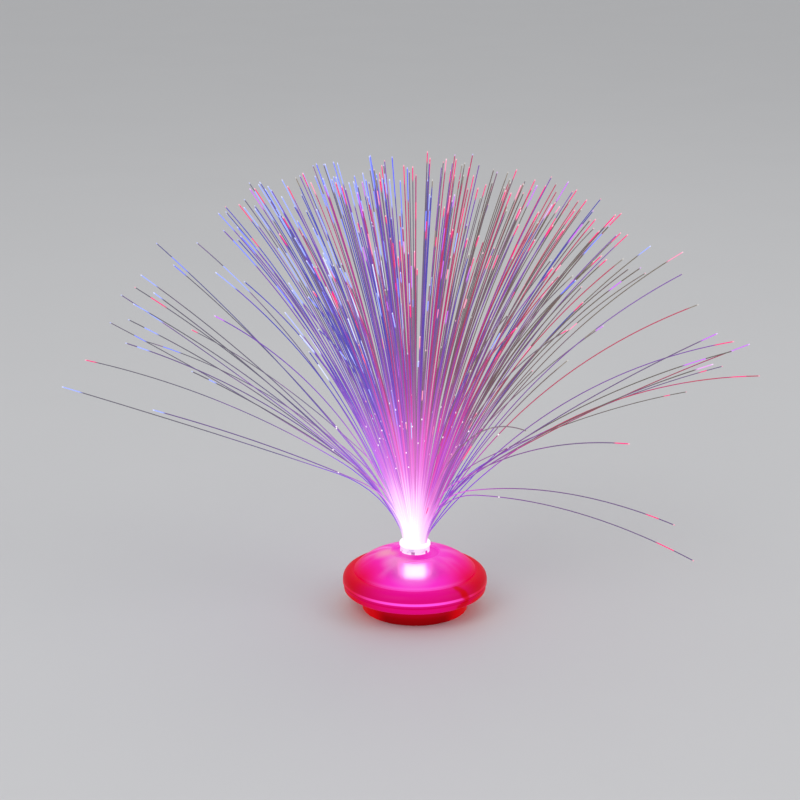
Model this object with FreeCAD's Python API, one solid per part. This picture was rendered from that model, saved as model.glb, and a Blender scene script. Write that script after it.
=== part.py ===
import FreeCAD, Part
import math
import os
import random

from FreeCAD import Vector

# Battery fibre optic lamp. Millimetres, +Z up, front towards -Y.
# The origin is the centre of the foot on the surface that the lamp stands on.

# ---- saucer shells ----
foot_r = 31.0            # foot circle on the table
foot_draft = 0.9         # the foot wall leans out by this much
foot_z = 8.0             # height of the straight foot wall
foot_chamfer = 0.4
foot_wall = 1.2
foot_flare = 1.4         # the underside leaves the foot wall with this bevel
foot_flare_h = 1.1
overhang = 11.5          # from the foot circle to the widest circle of the lamp
rim_inset = 0.6          # both rims stand back by this much at the seam
rim_turn_r = 1.7         # the underside turns up into the rim with this radius
underside_z = 11.2
under_wall = 1.5
under_bevel = 0.9        # inside, between the underside and the rim
seam_z = 15.2            # middle of the seam groove
seam_gap = 0.3
groove_depth = 0.6       # chamfer on both rims beside the seam
bead_h = 2.0             # upright band above the seam
brim_round = 5.6         # radius of the rounded brim
shell_wall = 1.6
terrace_inset = 6.8      # step between brim and dome, in from the widest circle
terrace_step = 0.7
edge_bevel = 0.2         # small bevels on the neck and the terrace
edge_run = 0.3
dome_mid_share = 0.672   # a point half way up the dome, as a share of the terrace's radius
dome_mid_z = 32.1
dish_w = 4.7             # shallow dish around the neck
recess_rim_z = 34.4
recess_depth = 1.0
recess_bead = 0.8        # rounded rim of the dish
recess_bead_in = 0.35
recess_bead_drop = 0.3
floor_wall = 1.2
lip_h = 2.4              # locating lip inside the seam
lip_wall = 1.2
fit_gap = 0.1            # between a lip or plug and what it sits in

# ---- neck and ferrule ----
neck_rim = 1.0           # the neck's wall beyond the ferrule's skirt
neck_h = 1.8             # above the dish
plug_r = 8.2
plug_fit = 0.05
plug_len = 5.7
skirt_step = 0.4         # the skirt stands out from the plug
skirt_h = 3.4
flange_step = 0.5        # the flange stands out from the skirt
flange_h = 2.6
flange_round = 1.1
plug_wall = 0.8
bore_flare = 0.4         # the bore opens by this much at the mouth
notch_count = 6
notch_w = 2.2
notch_h = 1.7
notch_depth = 0.7
notch_turn = -8.0        # degrees from the front
key_play = 0.25          # per side, between a neck key and its notch
key_h = 1.2
key_turns = [52.0, 232.0]   # notches that hold a key, degrees from the front
key_root = 0.3           # how far a key reaches into the neck
flange_bevel = 0.4
plug_bevel = 0.4

# ---- fibres ----
fibre_d = 0.58
fibre_pitch = 0.68       # hexagonal packing in the ferrule
bundle_gap = 0.5         # from the bore to the outermost strand's centre line
fibre_len = 229.0        # free length above the ferrule
fibre_trim = 15.0        # the shortest is this much shorter
exit_len = 12.0          # short bend at the ferrule's mouth
exit_below = 3.0         # that bend starts this far below the mouth
# The strands are cut in tiers: a running share of the strands, and their part of the full length.
tiers = [(0.77, 1.0), (0.88, 0.78), (0.95, 0.62), (1.0, 0.40)]
fan_lean = 36.5          # mean lean of a fibre at the bundle's edge, degrees
fan_skew = 0.09          # the fan leans this share more towards +X, and less towards -X
edge_lean = 19.0         # the outer rows lean this much more
edge_from = 0.84
exit_share = 0.58        # lean that is reached at the mouth
clump_pitch = 2.35       # tufts that the strands fall into
clump_margin = 0.6       # tuft centres reach this far past the bundle
clump_pull = 0.42
clump_turn = 17.0        # the tufts' grid is turned against the bundle's
lean_jitter = 0.12       # millimetres in the bundle's plane
seed = 8
group_edges = [0.25, 0.5, 0.72, 0.88, 1.01]
group_names = ["fibres_core", "fibres_inner", "fibres_middle", "fibres_outer", "fibres_edge"]

# Strands that bend away from the fan, each with three angles in degrees: direction (from +X,
# seen from above), lean after the sharp bend, lean at the tip.
stray_exit = 24.0
stray_bend_len = 52.0
stray_angles = [
    (0, 58, 68), (16, 64, 80), (36, 78, 92), (54, 66, 80), (70, 60, 74), (92, 64, 80), (112, 56, 68),
    (132, 66, 82), (151, 60, 84), (161, 60, 66), (173, 52, 58), (180, 58, 78), (186, 68, 70), (196, 46, 60),
    (208, 46, 66), (220, 60, 66), (232, 52, 60), (304, 56, 78), (311, 70, 92), (319, 78, 100),
    (327, 52, 66), (334, 50, 60), (338, 50, 70), (165, 42, 54), (171, 40, 50), (177, 43, 56),
    (184, 41, 52), (190, 44, 57), (201, 42, 50),
]

# ---- bottom cover with the battery compartment ----
cover_z = 1.0            # lower face of the cover
cover_t = 2.0
cover_gap = 0.25         # around the disc, inside the foot wall
cell_len = 44.5
cell_r = 5.25
cell_pitch = 10.8
cell_nub_r = 1.9
cell_nub_len = 1.0
cell_edge = 0.5
cell_nub_root = 0.5      # how far the positive nub reaches into the can
contact_t = 0.4
contact_w = 6.0
bow_w = 3.0              # width of a spring contact's bowed strip
bow_inset = 0.6
bow_slack = 0.3          # the bow stops this far before the cell
dimple_r = 1.5
tab_w = 2.4
tab_up = 1.6             # solder tab above the compartment's roof
tab_slot_gap = 0.15
bow_depth = 2.4          # free bow of a spring contact
dimple_depth = 0.6
end_play = 0.1
bay_side_gap = 0.35
bay_corner = 2.5
bay_wall = 1.0
bay_roof = 1.2
cell_floor_gap = 0.3
cell_top_gap = 0.5
door_t = 1.4
door_gap = 0.2
hinge_x = 15.0           # middle of each hinge tab
hinge_tab_w = 5.6
hinge_side_gap = 0.25
barrel_r = 0.75
hinge_pin_r = 0.5
hinge_pin_len = 1.0
hinge_pin_end = 0.1      # play beyond a hinge pin's end
hinge_clear = 0.3        # round the barrels and over the tabs
hinge_root = 1.0         # how far a tab reaches into the door
hinge_hole_fit = 0.06
hinge_out = 1.2          # hinge line to the door's edge
hinge_relief = 0.6
latch_w = 12.0
latch_slot = 0.8
latch_len = 7.0
grip_count = 3
grip_w = 0.6
grip_pitch = 1.6
grip_depth = 0.4
grip_inset = 1.2

# ---- posts and screws ----
cover_post_x = 14.0
cover_post_y = 22.5
cover_post_r = 2.3
cover_post_top = 9.6
rib_t = 1.2
pilot_r = 0.85
screw_r = 0.8
screw_clear_r = 1.2
screw_head_r = 2.0
screw_head_h = 1.2
head_play = 0.2
cover_screw_len = 5.5
pilot_spare = 0.5        # pilot holes are this much longer than the screws
shell_post_r = 2.4
shell_post_gap = 1.7     # from the foot's bevel to a post's middle
shell_post_turns = [-49.0, 71.0, 191.0]
shell_post_z = 15.4      # where the upper and lower posts meet
shell_post_low = 10.6
shell_seat_z = 12.0      # under the screw heads' seat
shell_screw_len = 9.0
drive_r = 0.9
drive_depth = 0.6
drive_w = 0.4

# ---- circuit board ----
board_r = 20.0
board_z = 18.6
board_t = 1.6
board_post_x = 14.5
board_post_r = 2.2
board_screw_len = 5.0
led_ring_r = 3.9
led_r = 2.5
led_flange_r = 2.9
led_flange_h = 1.0
led_h = 8.6
led_leg_r = 0.25
led_leg_gap = 2.54
led_leg_below = 1.2
led_hole_r = 0.4
led_turns = [90.0, 210.0, 330.0]
cup_rim = 1.3            # the light cup's wall stands out from the plug
cup_wall = 0.9
chip_size = (6.0, 4.0, 1.6)
chip_at = (-13.6, -7.5)
resistor_size = (3.2, 1.6, 0.6)
resistor_at = [(-13.0, 7.0), (-10.0, 10.5), (-6.5, 13.0)]

# ---- switch ----
switch_y = 22.6
switch_len = 10.0
switch_w = 5.6
switch_h = 4.4
switch_wall = 0.7
switch_ear = 3.0
switch_ear_t = 0.8
stake_r = 0.7
slider_travel = 2.4
slider_len = 4.4
slider_h = 1.8
slider_gap = 0.25
knob_len = 3.0
knob_w = 2.2
knob_z = 0.45            # end of the knob, above the table
pin_t = 0.5
pin_w = 1.4
pin_h = 3.0
pin_pitch = 2.6
stake_up = 0.6           # heat stake above the switch's ear
stake_gap = 0.1

# ---- wires ----
wire_r = 0.6
wire_touch = 0.05        # solder gap between a wire and its terminal
wire_hole_gap = 0.1
wire_above = 0.8         # a wire's last bend above the board
wire_above_tab = 1.0     # a wire's height over the compartment's roof at a tab
wire_pads = {"plus": (13.0, -9.0), "switch": (1.5, 17.0)}
red_route = [(25.3, -14.2, 16.2), (28.6, -18.5, 16.4), (30.6, -20.6, 18.2), (28.4, -19.4, 21.2),
             (22.0, -14.8, 23.2), (14.6, -10.2, 23.4)]
black_route = [(-25.3, 14.0, 16.2), (-22.4, 19.6, 15.8), (-13.0, 23.6, 13.8), (-6.1, 22.6, 11.3)]
switch_route = [(3.5, 23.2, 11.8), (6.0, 24.2, 15.4), (5.6, 25.0, 19.6), (3.2, 21.5, 22.4),
                (1.5, 17.0, 21.8)]

# ---- worked out from the sizes above ----
skirt_r = plug_r + skirt_step
flange_r = skirt_r + flange_step
neck_r = skirt_r + neck_rim
recess_r = neck_r + dish_w
bore_r = plug_r - plug_wall
bundle_r = bore_r - bundle_gap
cup_r = plug_r + cup_rim
foot_top_r = foot_r + foot_draft
saucer_r = foot_r + overhang
rim_r = saucer_r - rim_inset
underside_r = rim_r - rim_turn_r
terrace_r = saucer_r - terrace_inset
dome_mid_r = dome_mid_share * terrace_r
shell_post_at = foot_top_r + foot_flare + shell_post_gap
cover_top = cover_z + cover_t
door_top = cover_z + door_t
cell_z = door_top + cell_floor_gap + cell_r
bay_top = cell_z + cell_r + cell_top_gap
roof_top = bay_top + bay_roof
bay_half_x = (cell_len + bow_depth + dimple_depth) / 2 + contact_t + end_play
bay_half_y = cell_pitch + cell_r + bay_side_gap
board_top = board_z + board_t
upper_rim_z = seam_z + seam_gap / 2
lower_rim_z = seam_z - seam_gap / 2
bead_z = upper_rim_z + groove_depth + bead_h
brim_r = saucer_r - brim_round
brim_top = bead_z + brim_round
dish_z = recess_rim_z - recess_depth
neck_z = dish_z + neck_h
socket_r = plug_r + plug_fit
plug_z = neck_z - plug_len
skirt_top = neck_z + skirt_h
mouth_z = skirt_top + flange_h
lip_r = saucer_r - shell_wall - fit_gap
hinge_y = -(bay_half_y - door_gap) - hinge_out
hinge_z = cover_z + barrel_r
post_top = brim_top - shell_wall / 2
flare_z = foot_z + foot_flare_h
lip_in_r = lip_r - lip_wall
cup_top = dish_z - floor_wall - fit_gap
pin_top = cover_top + switch_h + pin_h
switch_pins = [-pin_pitch, 0.0, pin_pitch]


# ---- helpers ----
def point(r, z):
    return Vector(r, 0, z)


def line(a, b):
    return Part.LineSegment(point(*a), point(*b)).toShape()


def arc(a, through, b):
    return Part.Arc(point(*a), point(*through), point(*b)).toShape()


def turn(edges):
    """A solid of revolution about Z from a closed outline of (r, z) edges."""
    face = Part.Face(Part.Wire(edges))
    return face.revolve(Vector(0, 0, 0), Vector(0, 0, 1), 360)


def outline(points):
    return [line(a, b) for a, b in zip(points, points[1:] + points[:1])]


def arc_on(centre, radius, start, end):
    """An arc edge about centre between two angles in degrees, in the (r, z) plane."""
    spots = []
    for angle in (start, (start + end) / 2, end):
        a = math.radians(angle)
        spots.append((centre[0] + radius * math.cos(a), centre[1] + radius * math.sin(a)))
    return arc(*spots), spots[0], spots[2]


def circle_through(a, b, c):
    """Centre and radius of the circle through three (r, z) points."""
    ax, ay = a
    bx, by = b
    cx, cy = c
    d = 2 * (ax * (by - cy) + bx * (cy - ay) + cx * (ay - by))
    a2, b2, c2 = ax * ax + ay * ay, bx * bx + by * by, cx * cx + cy * cy
    ux = (a2 * (by - cy) + b2 * (cy - ay) + c2 * (ay - by)) / d
    uy = (a2 * (cx - bx) + b2 * (ax - cx) + c2 * (bx - ax)) / d
    return (ux, uy), math.hypot(ax - ux, ay - uy)


def rod(r, z0, z1, x=0.0, y=0.0):
    return Part.makeCylinder(r, z1 - z0, Vector(x, y, z0))


def bar(x0, x1, y0, y1, z0, z1):
    return Part.makeBox(x1 - x0, y1 - y0, z1 - z0, Vector(x0, y0, z0))


def rod_x(r, x0, x1, y, z):
    return Part.makeCylinder(r, x1 - x0, Vector(x0, y, z), Vector(1, 0, 0))


def rounded_block(half_x, half_y, z0, z1, corner):
    block = bar(-half_x, half_x, -half_y, half_y, z0, z1)
    upright = [e for e in block.Edges if abs(e.Vertexes[0].Z - e.Vertexes[1].Z) > 1e-6]
    return block.makeFillet(corner, upright)


def turned(shape, angle):
    """The shape turned about the lamp's axis."""
    copy = shape.copy()
    copy.rotate(Vector(0, 0, 0), Vector(0, 0, 1), angle)
    return copy


def tube_along(path, radius, start, direction):
    ring = Part.Wire(Part.makeCircle(radius, start, direction))
    return path.makePipeShell([ring], True, True)


def bent_path(points, share):
    """Straight runs through the points, joined by tangent arcs as large as the runs allow."""
    spots = [Vector(*p) for p in points]
    edges = []
    here = spots[0]
    for before, corner, after in zip(spots, spots[1:], spots[2:]):
        into = (corner - before).normalize()
        out = (after - corner).normalize()
        cut = share * min((corner - before).Length, (after - corner).Length)
        half = into.getAngle(out) / 2
        a = corner - into * cut
        b = corner + out * cut
        inward = (out - into).normalize()
        radius = cut / math.tan(half)
        middle = corner + inward * (radius / math.cos(half) - radius)
        edges.append(Part.LineSegment(here, a).toShape())
        edges.append(Part.Arc(a, middle, b).toShape())
        here = b
    edges.append(Part.LineSegment(here, spots[-1]).toShape())
    return Part.Wire(edges)


def wire(points):
    path = bent_path(points, 0.45)
    start = Vector(*points[0])
    return tube_along(path, wire_r, start, (Vector(*points[1]) - start).normalize())


def pan_screw(x, y, under_head, length, up):
    """A pan-head screw; the shank goes up or down from under_head."""
    side = 1 if up else -1
    z = sorted((under_head, under_head + side * length))
    h = sorted((under_head, under_head - side * screw_head_h))
    d = sorted((under_head - side * screw_head_h, under_head - side * (screw_head_h - drive_depth)))
    head = rod(screw_head_r, h[0], h[1], x, y)
    slot = bar(x - drive_r, x + drive_r, y - drive_w / 2, y + drive_w / 2, d[0], d[1])
    cross = bar(x - drive_w / 2, x + drive_w / 2, y - drive_r, y + drive_r, d[0], d[1])
    return head.fuse(rod(screw_r, z[0], z[1], x, y)).cut(slot).cut(cross).removeSplitter()


def shell_posts():
    """Places of the three posts that join the shells."""
    for angle in shell_post_turns:
        a = math.radians(angle)
        yield shell_post_at * math.cos(a), shell_post_at * math.sin(a)


def cover_posts():
    for sx in (-1, 1):
        for sy in (-1, 1):
            yield sx * cover_post_x, sy * cover_post_y


nodes = {}


# ---- shells ----
def make_upper_shell():
    step_top = (terrace_r - edge_run, brim_top + terrace_step + edge_bevel)
    rim_out = (recess_r + recess_bead, recess_rim_z - edge_bevel / 2)
    rim_mid = (recess_r + recess_bead_in, recess_rim_z + edge_bevel / 4)
    rim_in = (recess_r, recess_rim_z - recess_bead_drop)
    centre, dome_r = circle_through(step_top, (dome_mid_r, dome_mid_z), rim_out)
    inner_r = dome_r - shell_wall

    def dome_at(r, radius):
        return (r, centre[1] + math.sqrt(radius ** 2 - (r - centre[0]) ** 2))

    under_z = brim_top - shell_wall
    inner_low = (centre[0] + math.sqrt(inner_r ** 2 - (under_z - centre[1]) ** 2), under_z)
    inner_high = dome_at(recess_r + shell_wall, inner_r)
    brim, b0, b1 = arc_on((brim_r, bead_z), brim_round, 0, 90)
    brim_in, i0, i1 = arc_on((brim_r, bead_z), brim_round - shell_wall, 0, 90)
    ceiling = dish_z - floor_wall
    edges = [
        line((i0[0], upper_rim_z), (rim_r, upper_rim_z)),
        line((rim_r, upper_rim_z), (saucer_r, upper_rim_z + groove_depth)),
        line((saucer_r, upper_rim_z + groove_depth), b0),
        brim,
        line(b1, (terrace_r, brim_top)),
        line((terrace_r, brim_top), (terrace_r, brim_top + terrace_step)),
        line((terrace_r, brim_top + terrace_step), step_top),
        arc(step_top, (dome_mid_r, dome_mid_z), rim_out),
        arc(rim_out, rim_mid, rim_in),
        line(rim_in, (recess_r, dish_z)),
        line((recess_r, dish_z), (neck_r, dish_z)),
        line((neck_r, dish_z), (neck_r, neck_z - edge_bevel)),
        line((neck_r, neck_z - edge_bevel), (neck_r - edge_bevel, neck_z)),
        line((neck_r - edge_bevel, neck_z), (socket_r, neck_z)),
        line((socket_r, neck_z), (socket_r, ceiling)),
        line((socket_r, ceiling), (inner_high[0], ceiling)),
        line((inner_high[0], ceiling), inner_high),
        arc(inner_high, dome_at((inner_high[0] + inner_low[0]) / 2, inner_r), inner_low),
        line(inner_low, i1),
        brim_in,
        line(i0, (i0[0], upper_rim_z)),
    ]
    shell = turn(edges)
    for x, y in shell_posts():
        shell = shell.fuse(rod(shell_post_r, shell_post_z, post_top, x, y))
    for x, y in shell_posts():
        shell = shell.cut(rod(pilot_r, shell_post_z, shell_seat_z + shell_screw_len + pilot_spare, x, y))
    key_low = neck_z - key_root
    key_top = neck_z + key_h
    key_ring = turn(outline([(socket_r, key_low), (skirt_r, key_low),
                             (skirt_r, key_top), (socket_r, key_top)]))
    key_half = notch_w / 2 - key_play
    key = bar(-key_half, key_half, -skirt_r, -socket_r, key_low, key_top).common(key_ring)
    for angle in key_turns:
        shell = shell.fuse(turned(key, angle))
    nodes["upper_shell"] = shell.removeSplitter()


def make_lower_shell():
    turn_z = underside_z + rim_turn_r
    under_in_z = underside_z + under_wall
    corner, c0, c1 = arc_on((underside_r, turn_z), rim_turn_r, -90, 0)
    edges = [
        line((foot_r - foot_wall, 0), (foot_r - foot_chamfer, 0)),
        line((foot_r - foot_chamfer, 0), (foot_r, foot_chamfer)),
        line((foot_r, foot_chamfer), (foot_top_r, foot_z)),
        line((foot_top_r, foot_z), (foot_top_r + foot_flare, flare_z)),
        line((foot_top_r + foot_flare, flare_z), c0),
        corner,
        line(c1, (rim_r, lower_rim_z - groove_depth)),
        line((rim_r, lower_rim_z - groove_depth), (rim_r - groove_depth, lower_rim_z)),
        line((rim_r - groove_depth, lower_rim_z), (lip_r, lower_rim_z)),
        line((lip_r, lower_rim_z), (lip_r, lower_rim_z + lip_h)),
        line((lip_r, lower_rim_z + lip_h), (lip_in_r, lower_rim_z + lip_h)),
        line((lip_in_r, lower_rim_z + lip_h), (lip_in_r, under_in_z + under_bevel)),
        line((lip_in_r, under_in_z + under_bevel), (lip_in_r - under_bevel, under_in_z)),
        line((lip_in_r - under_bevel, under_in_z), (foot_top_r, flare_z + under_wall)),
        line((foot_top_r, flare_z + under_wall), (foot_top_r - foot_wall, flare_z)),
        line((foot_top_r - foot_wall, flare_z), (foot_top_r - foot_wall, foot_z)),
        line((foot_top_r - foot_wall, foot_z), (foot_r - foot_wall, 0)),
    ]
    shell = turn(edges)
    wall_room = Part.makeCylinder(foot_r - foot_wall / 2, saucer_r)
    for x, y in cover_posts():
        out = math.hypot(x, y)
        rib = bar(out, foot_r, -rib_t / 2, rib_t / 2, cover_top, foot_z)
        rib.rotate(Vector(0, 0, 0), Vector(0, 0, 1), math.degrees(math.atan2(y, x)))
        post = rod(cover_post_r, cover_top, cover_post_top, x, y)
        shell = shell.fuse(post.fuse(rib).common(wall_room))
    pilot_top = cover_z + screw_head_h + cover_screw_len + pilot_spare
    for x, y in cover_posts():
        shell = shell.cut(rod(pilot_r, cover_top, pilot_top, x, y))
    for x, y in shell_posts():
        shell = shell.fuse(rod(shell_post_r, shell_post_low, shell_post_z, x, y))
    for x, y in shell_posts():
        shell = shell.cut(rod(screw_clear_r, foot_z, shell_post_z, x, y))
        shell = shell.cut(rod(screw_head_r + head_play, foot_z, shell_seat_z, x, y))
    nodes["lower_shell"] = shell.removeSplitter()


# ---- bottom cover, battery compartment and door ----
def make_bottom_cover():
    disc = rod(foot_r - foot_wall - cover_gap, cover_z, cover_top)
    tub = rounded_block(bay_half_x + bay_wall, bay_half_y + bay_wall, cover_top, roof_top,
                        bay_corner + bay_wall)
    bay = rounded_block(bay_half_x, bay_half_y, cover_z, bay_top, bay_corner)
    cover = disc.fuse(tub).cut(bay)
    relief_x = bay_half_x - bay_corner / 2
    edge_y = -bay_half_y + fit_gap
    cover = cover.cut(bar(-relief_x, relief_x, hinge_y + hinge_relief, edge_y, cover_z, cover_top))
    notch_half = hinge_tab_w / 2 + hinge_side_gap
    hole_half = notch_half + hinge_pin_len + hinge_pin_end
    hole_r = hinge_pin_r + hinge_hole_fit
    for middle in (-hinge_x, hinge_x):
        cover = cover.cut(bar(middle - notch_half, middle + notch_half, hinge_y - barrel_r - hinge_clear,
                              edge_y, cover_z, door_top + hinge_clear))
        cover = cover.cut(rod_x(hole_r, middle - hole_half, middle + hole_half, hinge_y, hinge_z))
    for sx in (-1, 1):
        cover = cover.fuse(rod(board_post_r, roof_top, board_z, sx * board_post_x, 0))
    pilot_low = board_top - board_screw_len - pilot_spare / 2
    for sx in (-1, 1):
        cover = cover.cut(rod(pilot_r, pilot_low, board_z, sx * board_post_x, 0))
    for x, y in cover_posts():
        cover = cover.cut(rod(screw_clear_r, cover_z, cover_top, x, y))
        cover = cover.cut(rod(screw_head_r + head_play, cover_z, cover_z + screw_head_h, x, y))
    slot_half = knob_len / 2 + slider_gap
    cover = cover.cut(bar(-slider_travel / 2 - slot_half, slider_travel / 2 + slot_half,
                          switch_y - knob_w / 2 - slider_gap, switch_y + knob_w / 2 + slider_gap,
                          cover_z, cover_top))
    for sx in (-1, 1):
        stake_x = sx * (switch_len / 2 + switch_ear / 2)
        cover = cover.fuse(rod(stake_r, cover_top, cover_top + switch_ear_t + stake_up, stake_x, switch_y))
    # slots where the contact tabs leave the compartment through its roof
    for sx, middle in tab_places():
        tab_x = sx * (bay_half_x - contact_t / 2)
        half_t = contact_t / 2 + tab_slot_gap
        half_w = tab_w / 2 + tab_slot_gap
        cover = cover.cut(bar(tab_x - half_t, tab_x + half_t, middle - half_w, middle + half_w,
                              bay_top, roof_top))
    nodes["bottom_cover"] = cover.removeSplitter()


def tab_places():
    """The side (+X or -X) and the Y of each terminal contact's solder tab."""
    return [(1, -cell_pitch), (-1, cell_pitch)]


def make_battery_door():
    half_x = bay_half_x - door_gap
    half_y = bay_half_y - door_gap
    door = rounded_block(half_x, half_y, cover_z, door_top, bay_corner - door_gap)
    half_tab = hinge_tab_w / 2
    pin_half = half_tab + hinge_side_gap + hinge_pin_len
    for middle in (-hinge_x, hinge_x):
        tab = bar(middle - half_tab, middle + half_tab, hinge_y, -half_y + hinge_root, cover_z, door_top)
        barrel = rod_x(barrel_r, middle - half_tab, middle + half_tab, hinge_y, hinge_z)
        pin = rod_x(hinge_pin_r, middle - pin_half, middle + pin_half, hinge_y, hinge_z)
        door = door.fuse(tab).fuse(barrel).fuse(pin)
    # two slots free the latch tongue, and shallow grooves give a fingernail hold
    for x in (-latch_w / 2, latch_w / 2):
        door = door.cut(bar(x - latch_slot / 2, x + latch_slot / 2, half_y - latch_len, half_y,
                            cover_z, door_top))
    grip_half = latch_w / 2 - grip_inset
    for k in range(grip_count):
        y = half_y - grip_pitch * (k + 1)
        door = door.cut(bar(-grip_half, grip_half, y - grip_w, y, cover_z, cover_z + grip_depth))
    nodes["battery_door"] = door.removeSplitter()


def make_batteries():
    for k, name in enumerate(["battery_left", "battery_middle", "battery_right"]):
        y = (k - 1) * cell_pitch
        way = 1 if k % 2 == 0 else -1
        free_end = bay_half_x - contact_t - end_play
        # the positive nub touches the dimple, and the spring bow fills the other end
        nub_end = way * (free_end - dimple_depth)
        can_end = nub_end - way * cell_nub_len
        far_end = nub_end - way * cell_len
        x0, x1 = sorted((can_end, far_end))
        can = rod_x(cell_r, x0, x1, y, cell_z)
        rims = [e for e in can.Edges if e.Closed]
        can = can.makeChamfer(cell_edge, rims)
        n0, n1 = sorted((can_end - way * cell_nub_root, nub_end))
        nodes[name] = can.fuse(rod_x(cell_nub_r, n0, n1, y, cell_z)).removeSplitter()


def contact_plate(side, y0, y1):
    x = side * bay_half_x
    a, b = sorted((x, x - side * contact_t))
    return bar(a, b, y0, y1, cell_z - contact_w / 2, cell_z + contact_w / 2)


def spring_bow(side, y):
    """A strip bowed towards the cell's flat end, across the plate."""
    x = side * (bay_half_x - contact_t)
    reach = bow_depth - bow_slack
    low = cell_z - contact_w / 2 + bow_inset
    high = cell_z + contact_w / 2 - bow_inset
    outer = Part.Arc(Vector(x, y, low), Vector(x - side * reach, y, cell_z), Vector(x, y, high)).toShape()
    inner = Part.Arc(Vector(x, y, high - contact_t), Vector(x - side * (reach - contact_t), y, cell_z),
                     Vector(x, y, low + contact_t)).toShape()
    top = Part.LineSegment(Vector(x, y, high), Vector(x, y, high - contact_t)).toShape()
    bottom = Part.LineSegment(Vector(x, y, low + contact_t), Vector(x, y, low)).toShape()
    strip = Part.Face(Part.Wire([outer, top, inner, bottom])).extrude(Vector(0, bow_w, 0))
    strip.translate(Vector(0, -bow_w / 2, 0))
    return strip


def dimple(side, y):
    x = side * (bay_half_x - contact_t)
    a, b = sorted((x, x - side * dimple_depth))
    return rod_x(dimple_r, a, b, y, cell_z)


def make_contacts():
    half = contact_w / 2
    ends = {
        "contact_plus": (1, [-cell_pitch], [], True),
        "contact_minus": (-1, [], [cell_pitch], True),
        "bridge_left": (-1, [0.0], [-cell_pitch], False),
        "bridge_right": (1, [cell_pitch], [0.0], False),
    }
    for name, (side, dimples, bows, has_tab) in ends.items():
        spots = dimples + bows
        plate = contact_plate(side, min(spots) - half, max(spots) + half)
        for y in dimples:
            plate = plate.fuse(dimple(side, y))
        for y in bows:
            plate = plate.fuse(spring_bow(side, y))
        if has_tab:
            x = side * bay_half_x
            a, b = sorted((x, x - side * contact_t))
            y = spots[0]
            plate = plate.fuse(bar(a, b, y - tab_w / 2, y + tab_w / 2, cell_z, roof_top + tab_up))
        nodes[name] = plate.removeSplitter()


# ---- circuit board, lights and reflector cup ----
def led_places():
    for angle in led_turns:
        a = math.radians(angle)
        yield led_ring_r * math.cos(a), led_ring_r * math.sin(a)


def make_board():
    board = rod(board_r, board_z, board_top)
    for sx in (-1, 1):
        board = board.cut(rod(screw_clear_r, board_z, board_top, sx * board_post_x, 0))
    for x, y in led_places():
        for sx in (-1, 1):
            board = board.cut(rod(led_hole_r, board_z, board_top, x + sx * led_leg_gap / 2, y))
    for x, y in wire_pads.values():
        board = board.cut(rod(wire_r + wire_hole_gap, board_z, board_top, x, y))
    nodes["circuit_board"] = board


def make_leds():
    collar_z = board_top + led_flange_h
    round_z = board_top + led_h - led_r
    lens_top = board_top + led_h
    slope = math.sqrt(0.5)
    profile = [
        line((0, board_top), (led_flange_r, board_top)),
        line((led_flange_r, board_top), (led_flange_r, collar_z)),
        line((led_flange_r, collar_z), (led_r, collar_z)),
        line((led_r, collar_z), (led_r, round_z)),
        arc((led_r, round_z), (led_r * slope, round_z + led_r * slope), (0, lens_top)),
        line((0, lens_top), (0, board_top)),
    ]
    for name, (x, y) in zip(["led_red", "led_green", "led_blue"], led_places()):
        lens = turn(profile)
        lens.translate(Vector(x, y, 0))
        legs = [rod(led_leg_r, board_z - led_leg_below, board_top, x + sx * led_leg_gap / 2, y)
                for sx in (-1, 1)]
        nodes[name] = Part.makeCompound([lens] + legs)


def make_light_cup():
    nodes["light_cup"] = rod(cup_r, board_top, cup_top).cut(rod(cup_r - cup_wall, board_top, cup_top))


def make_board_parts():
    length, width, height = chip_size
    x, y = chip_at
    nodes["control_chip"] = bar(x - length / 2, x + length / 2, y - width / 2, y + width / 2,
                                board_top, board_top + height)
    length, width, height = resistor_size
    nodes["resistors"] = Part.makeCompound([
        bar(x - length / 2, x + length / 2, y - width / 2, y + width / 2, board_top, board_top + height)
        for x, y in resistor_at
    ])


# ---- slide switch ----
def make_switch():
    z0, z1 = cover_top, cover_top + switch_h
    x, y = switch_len / 2, switch_w / 2
    box = bar(-x, x, switch_y - y, switch_y + y, z0, z1)
    ears = bar(-x - switch_ear, x + switch_ear, switch_y - y, switch_y + y, z0, z0 + switch_ear_t)
    room = bar(-x + switch_wall, x - switch_wall, switch_y - y + switch_wall, switch_y + y - switch_wall,
               z0, z1 - switch_wall)
    housing = box.fuse(ears).cut(room)
    stake_x = x + switch_ear / 2
    for sx in (-1, 1):
        housing = housing.cut(rod(stake_r + stake_gap, z0, z0 + switch_ear_t, sx * stake_x, switch_y))
    for px in switch_pins:
        housing = housing.cut(bar(px - pin_w / 2, px + pin_w / 2, switch_y - pin_t / 2, switch_y + pin_t / 2,
                                  z1 - switch_wall, z1))
    nodes["switch_housing"] = housing.removeSplitter()
    shift = -slider_travel / 2
    block = bar(shift - slider_len / 2, shift + slider_len / 2,
                switch_y - y + switch_wall + slider_gap, switch_y + y - switch_wall - slider_gap,
                z0 + fit_gap, z0 + fit_gap + slider_h)
    knob = bar(shift - knob_len / 2, shift + knob_len / 2, switch_y - knob_w / 2, switch_y + knob_w / 2,
               knob_z, z0 + fit_gap)
    nodes["switch_slider"] = block.fuse(knob).removeSplitter()
    pin_low = z0 + fit_gap + slider_h + fit_gap
    nodes["switch_terminals"] = Part.makeCompound([
        bar(px - pin_w / 2, px + pin_w / 2, switch_y - pin_t / 2, switch_y + pin_t / 2, pin_low, pin_top)
        for px in switch_pins
    ])


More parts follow.
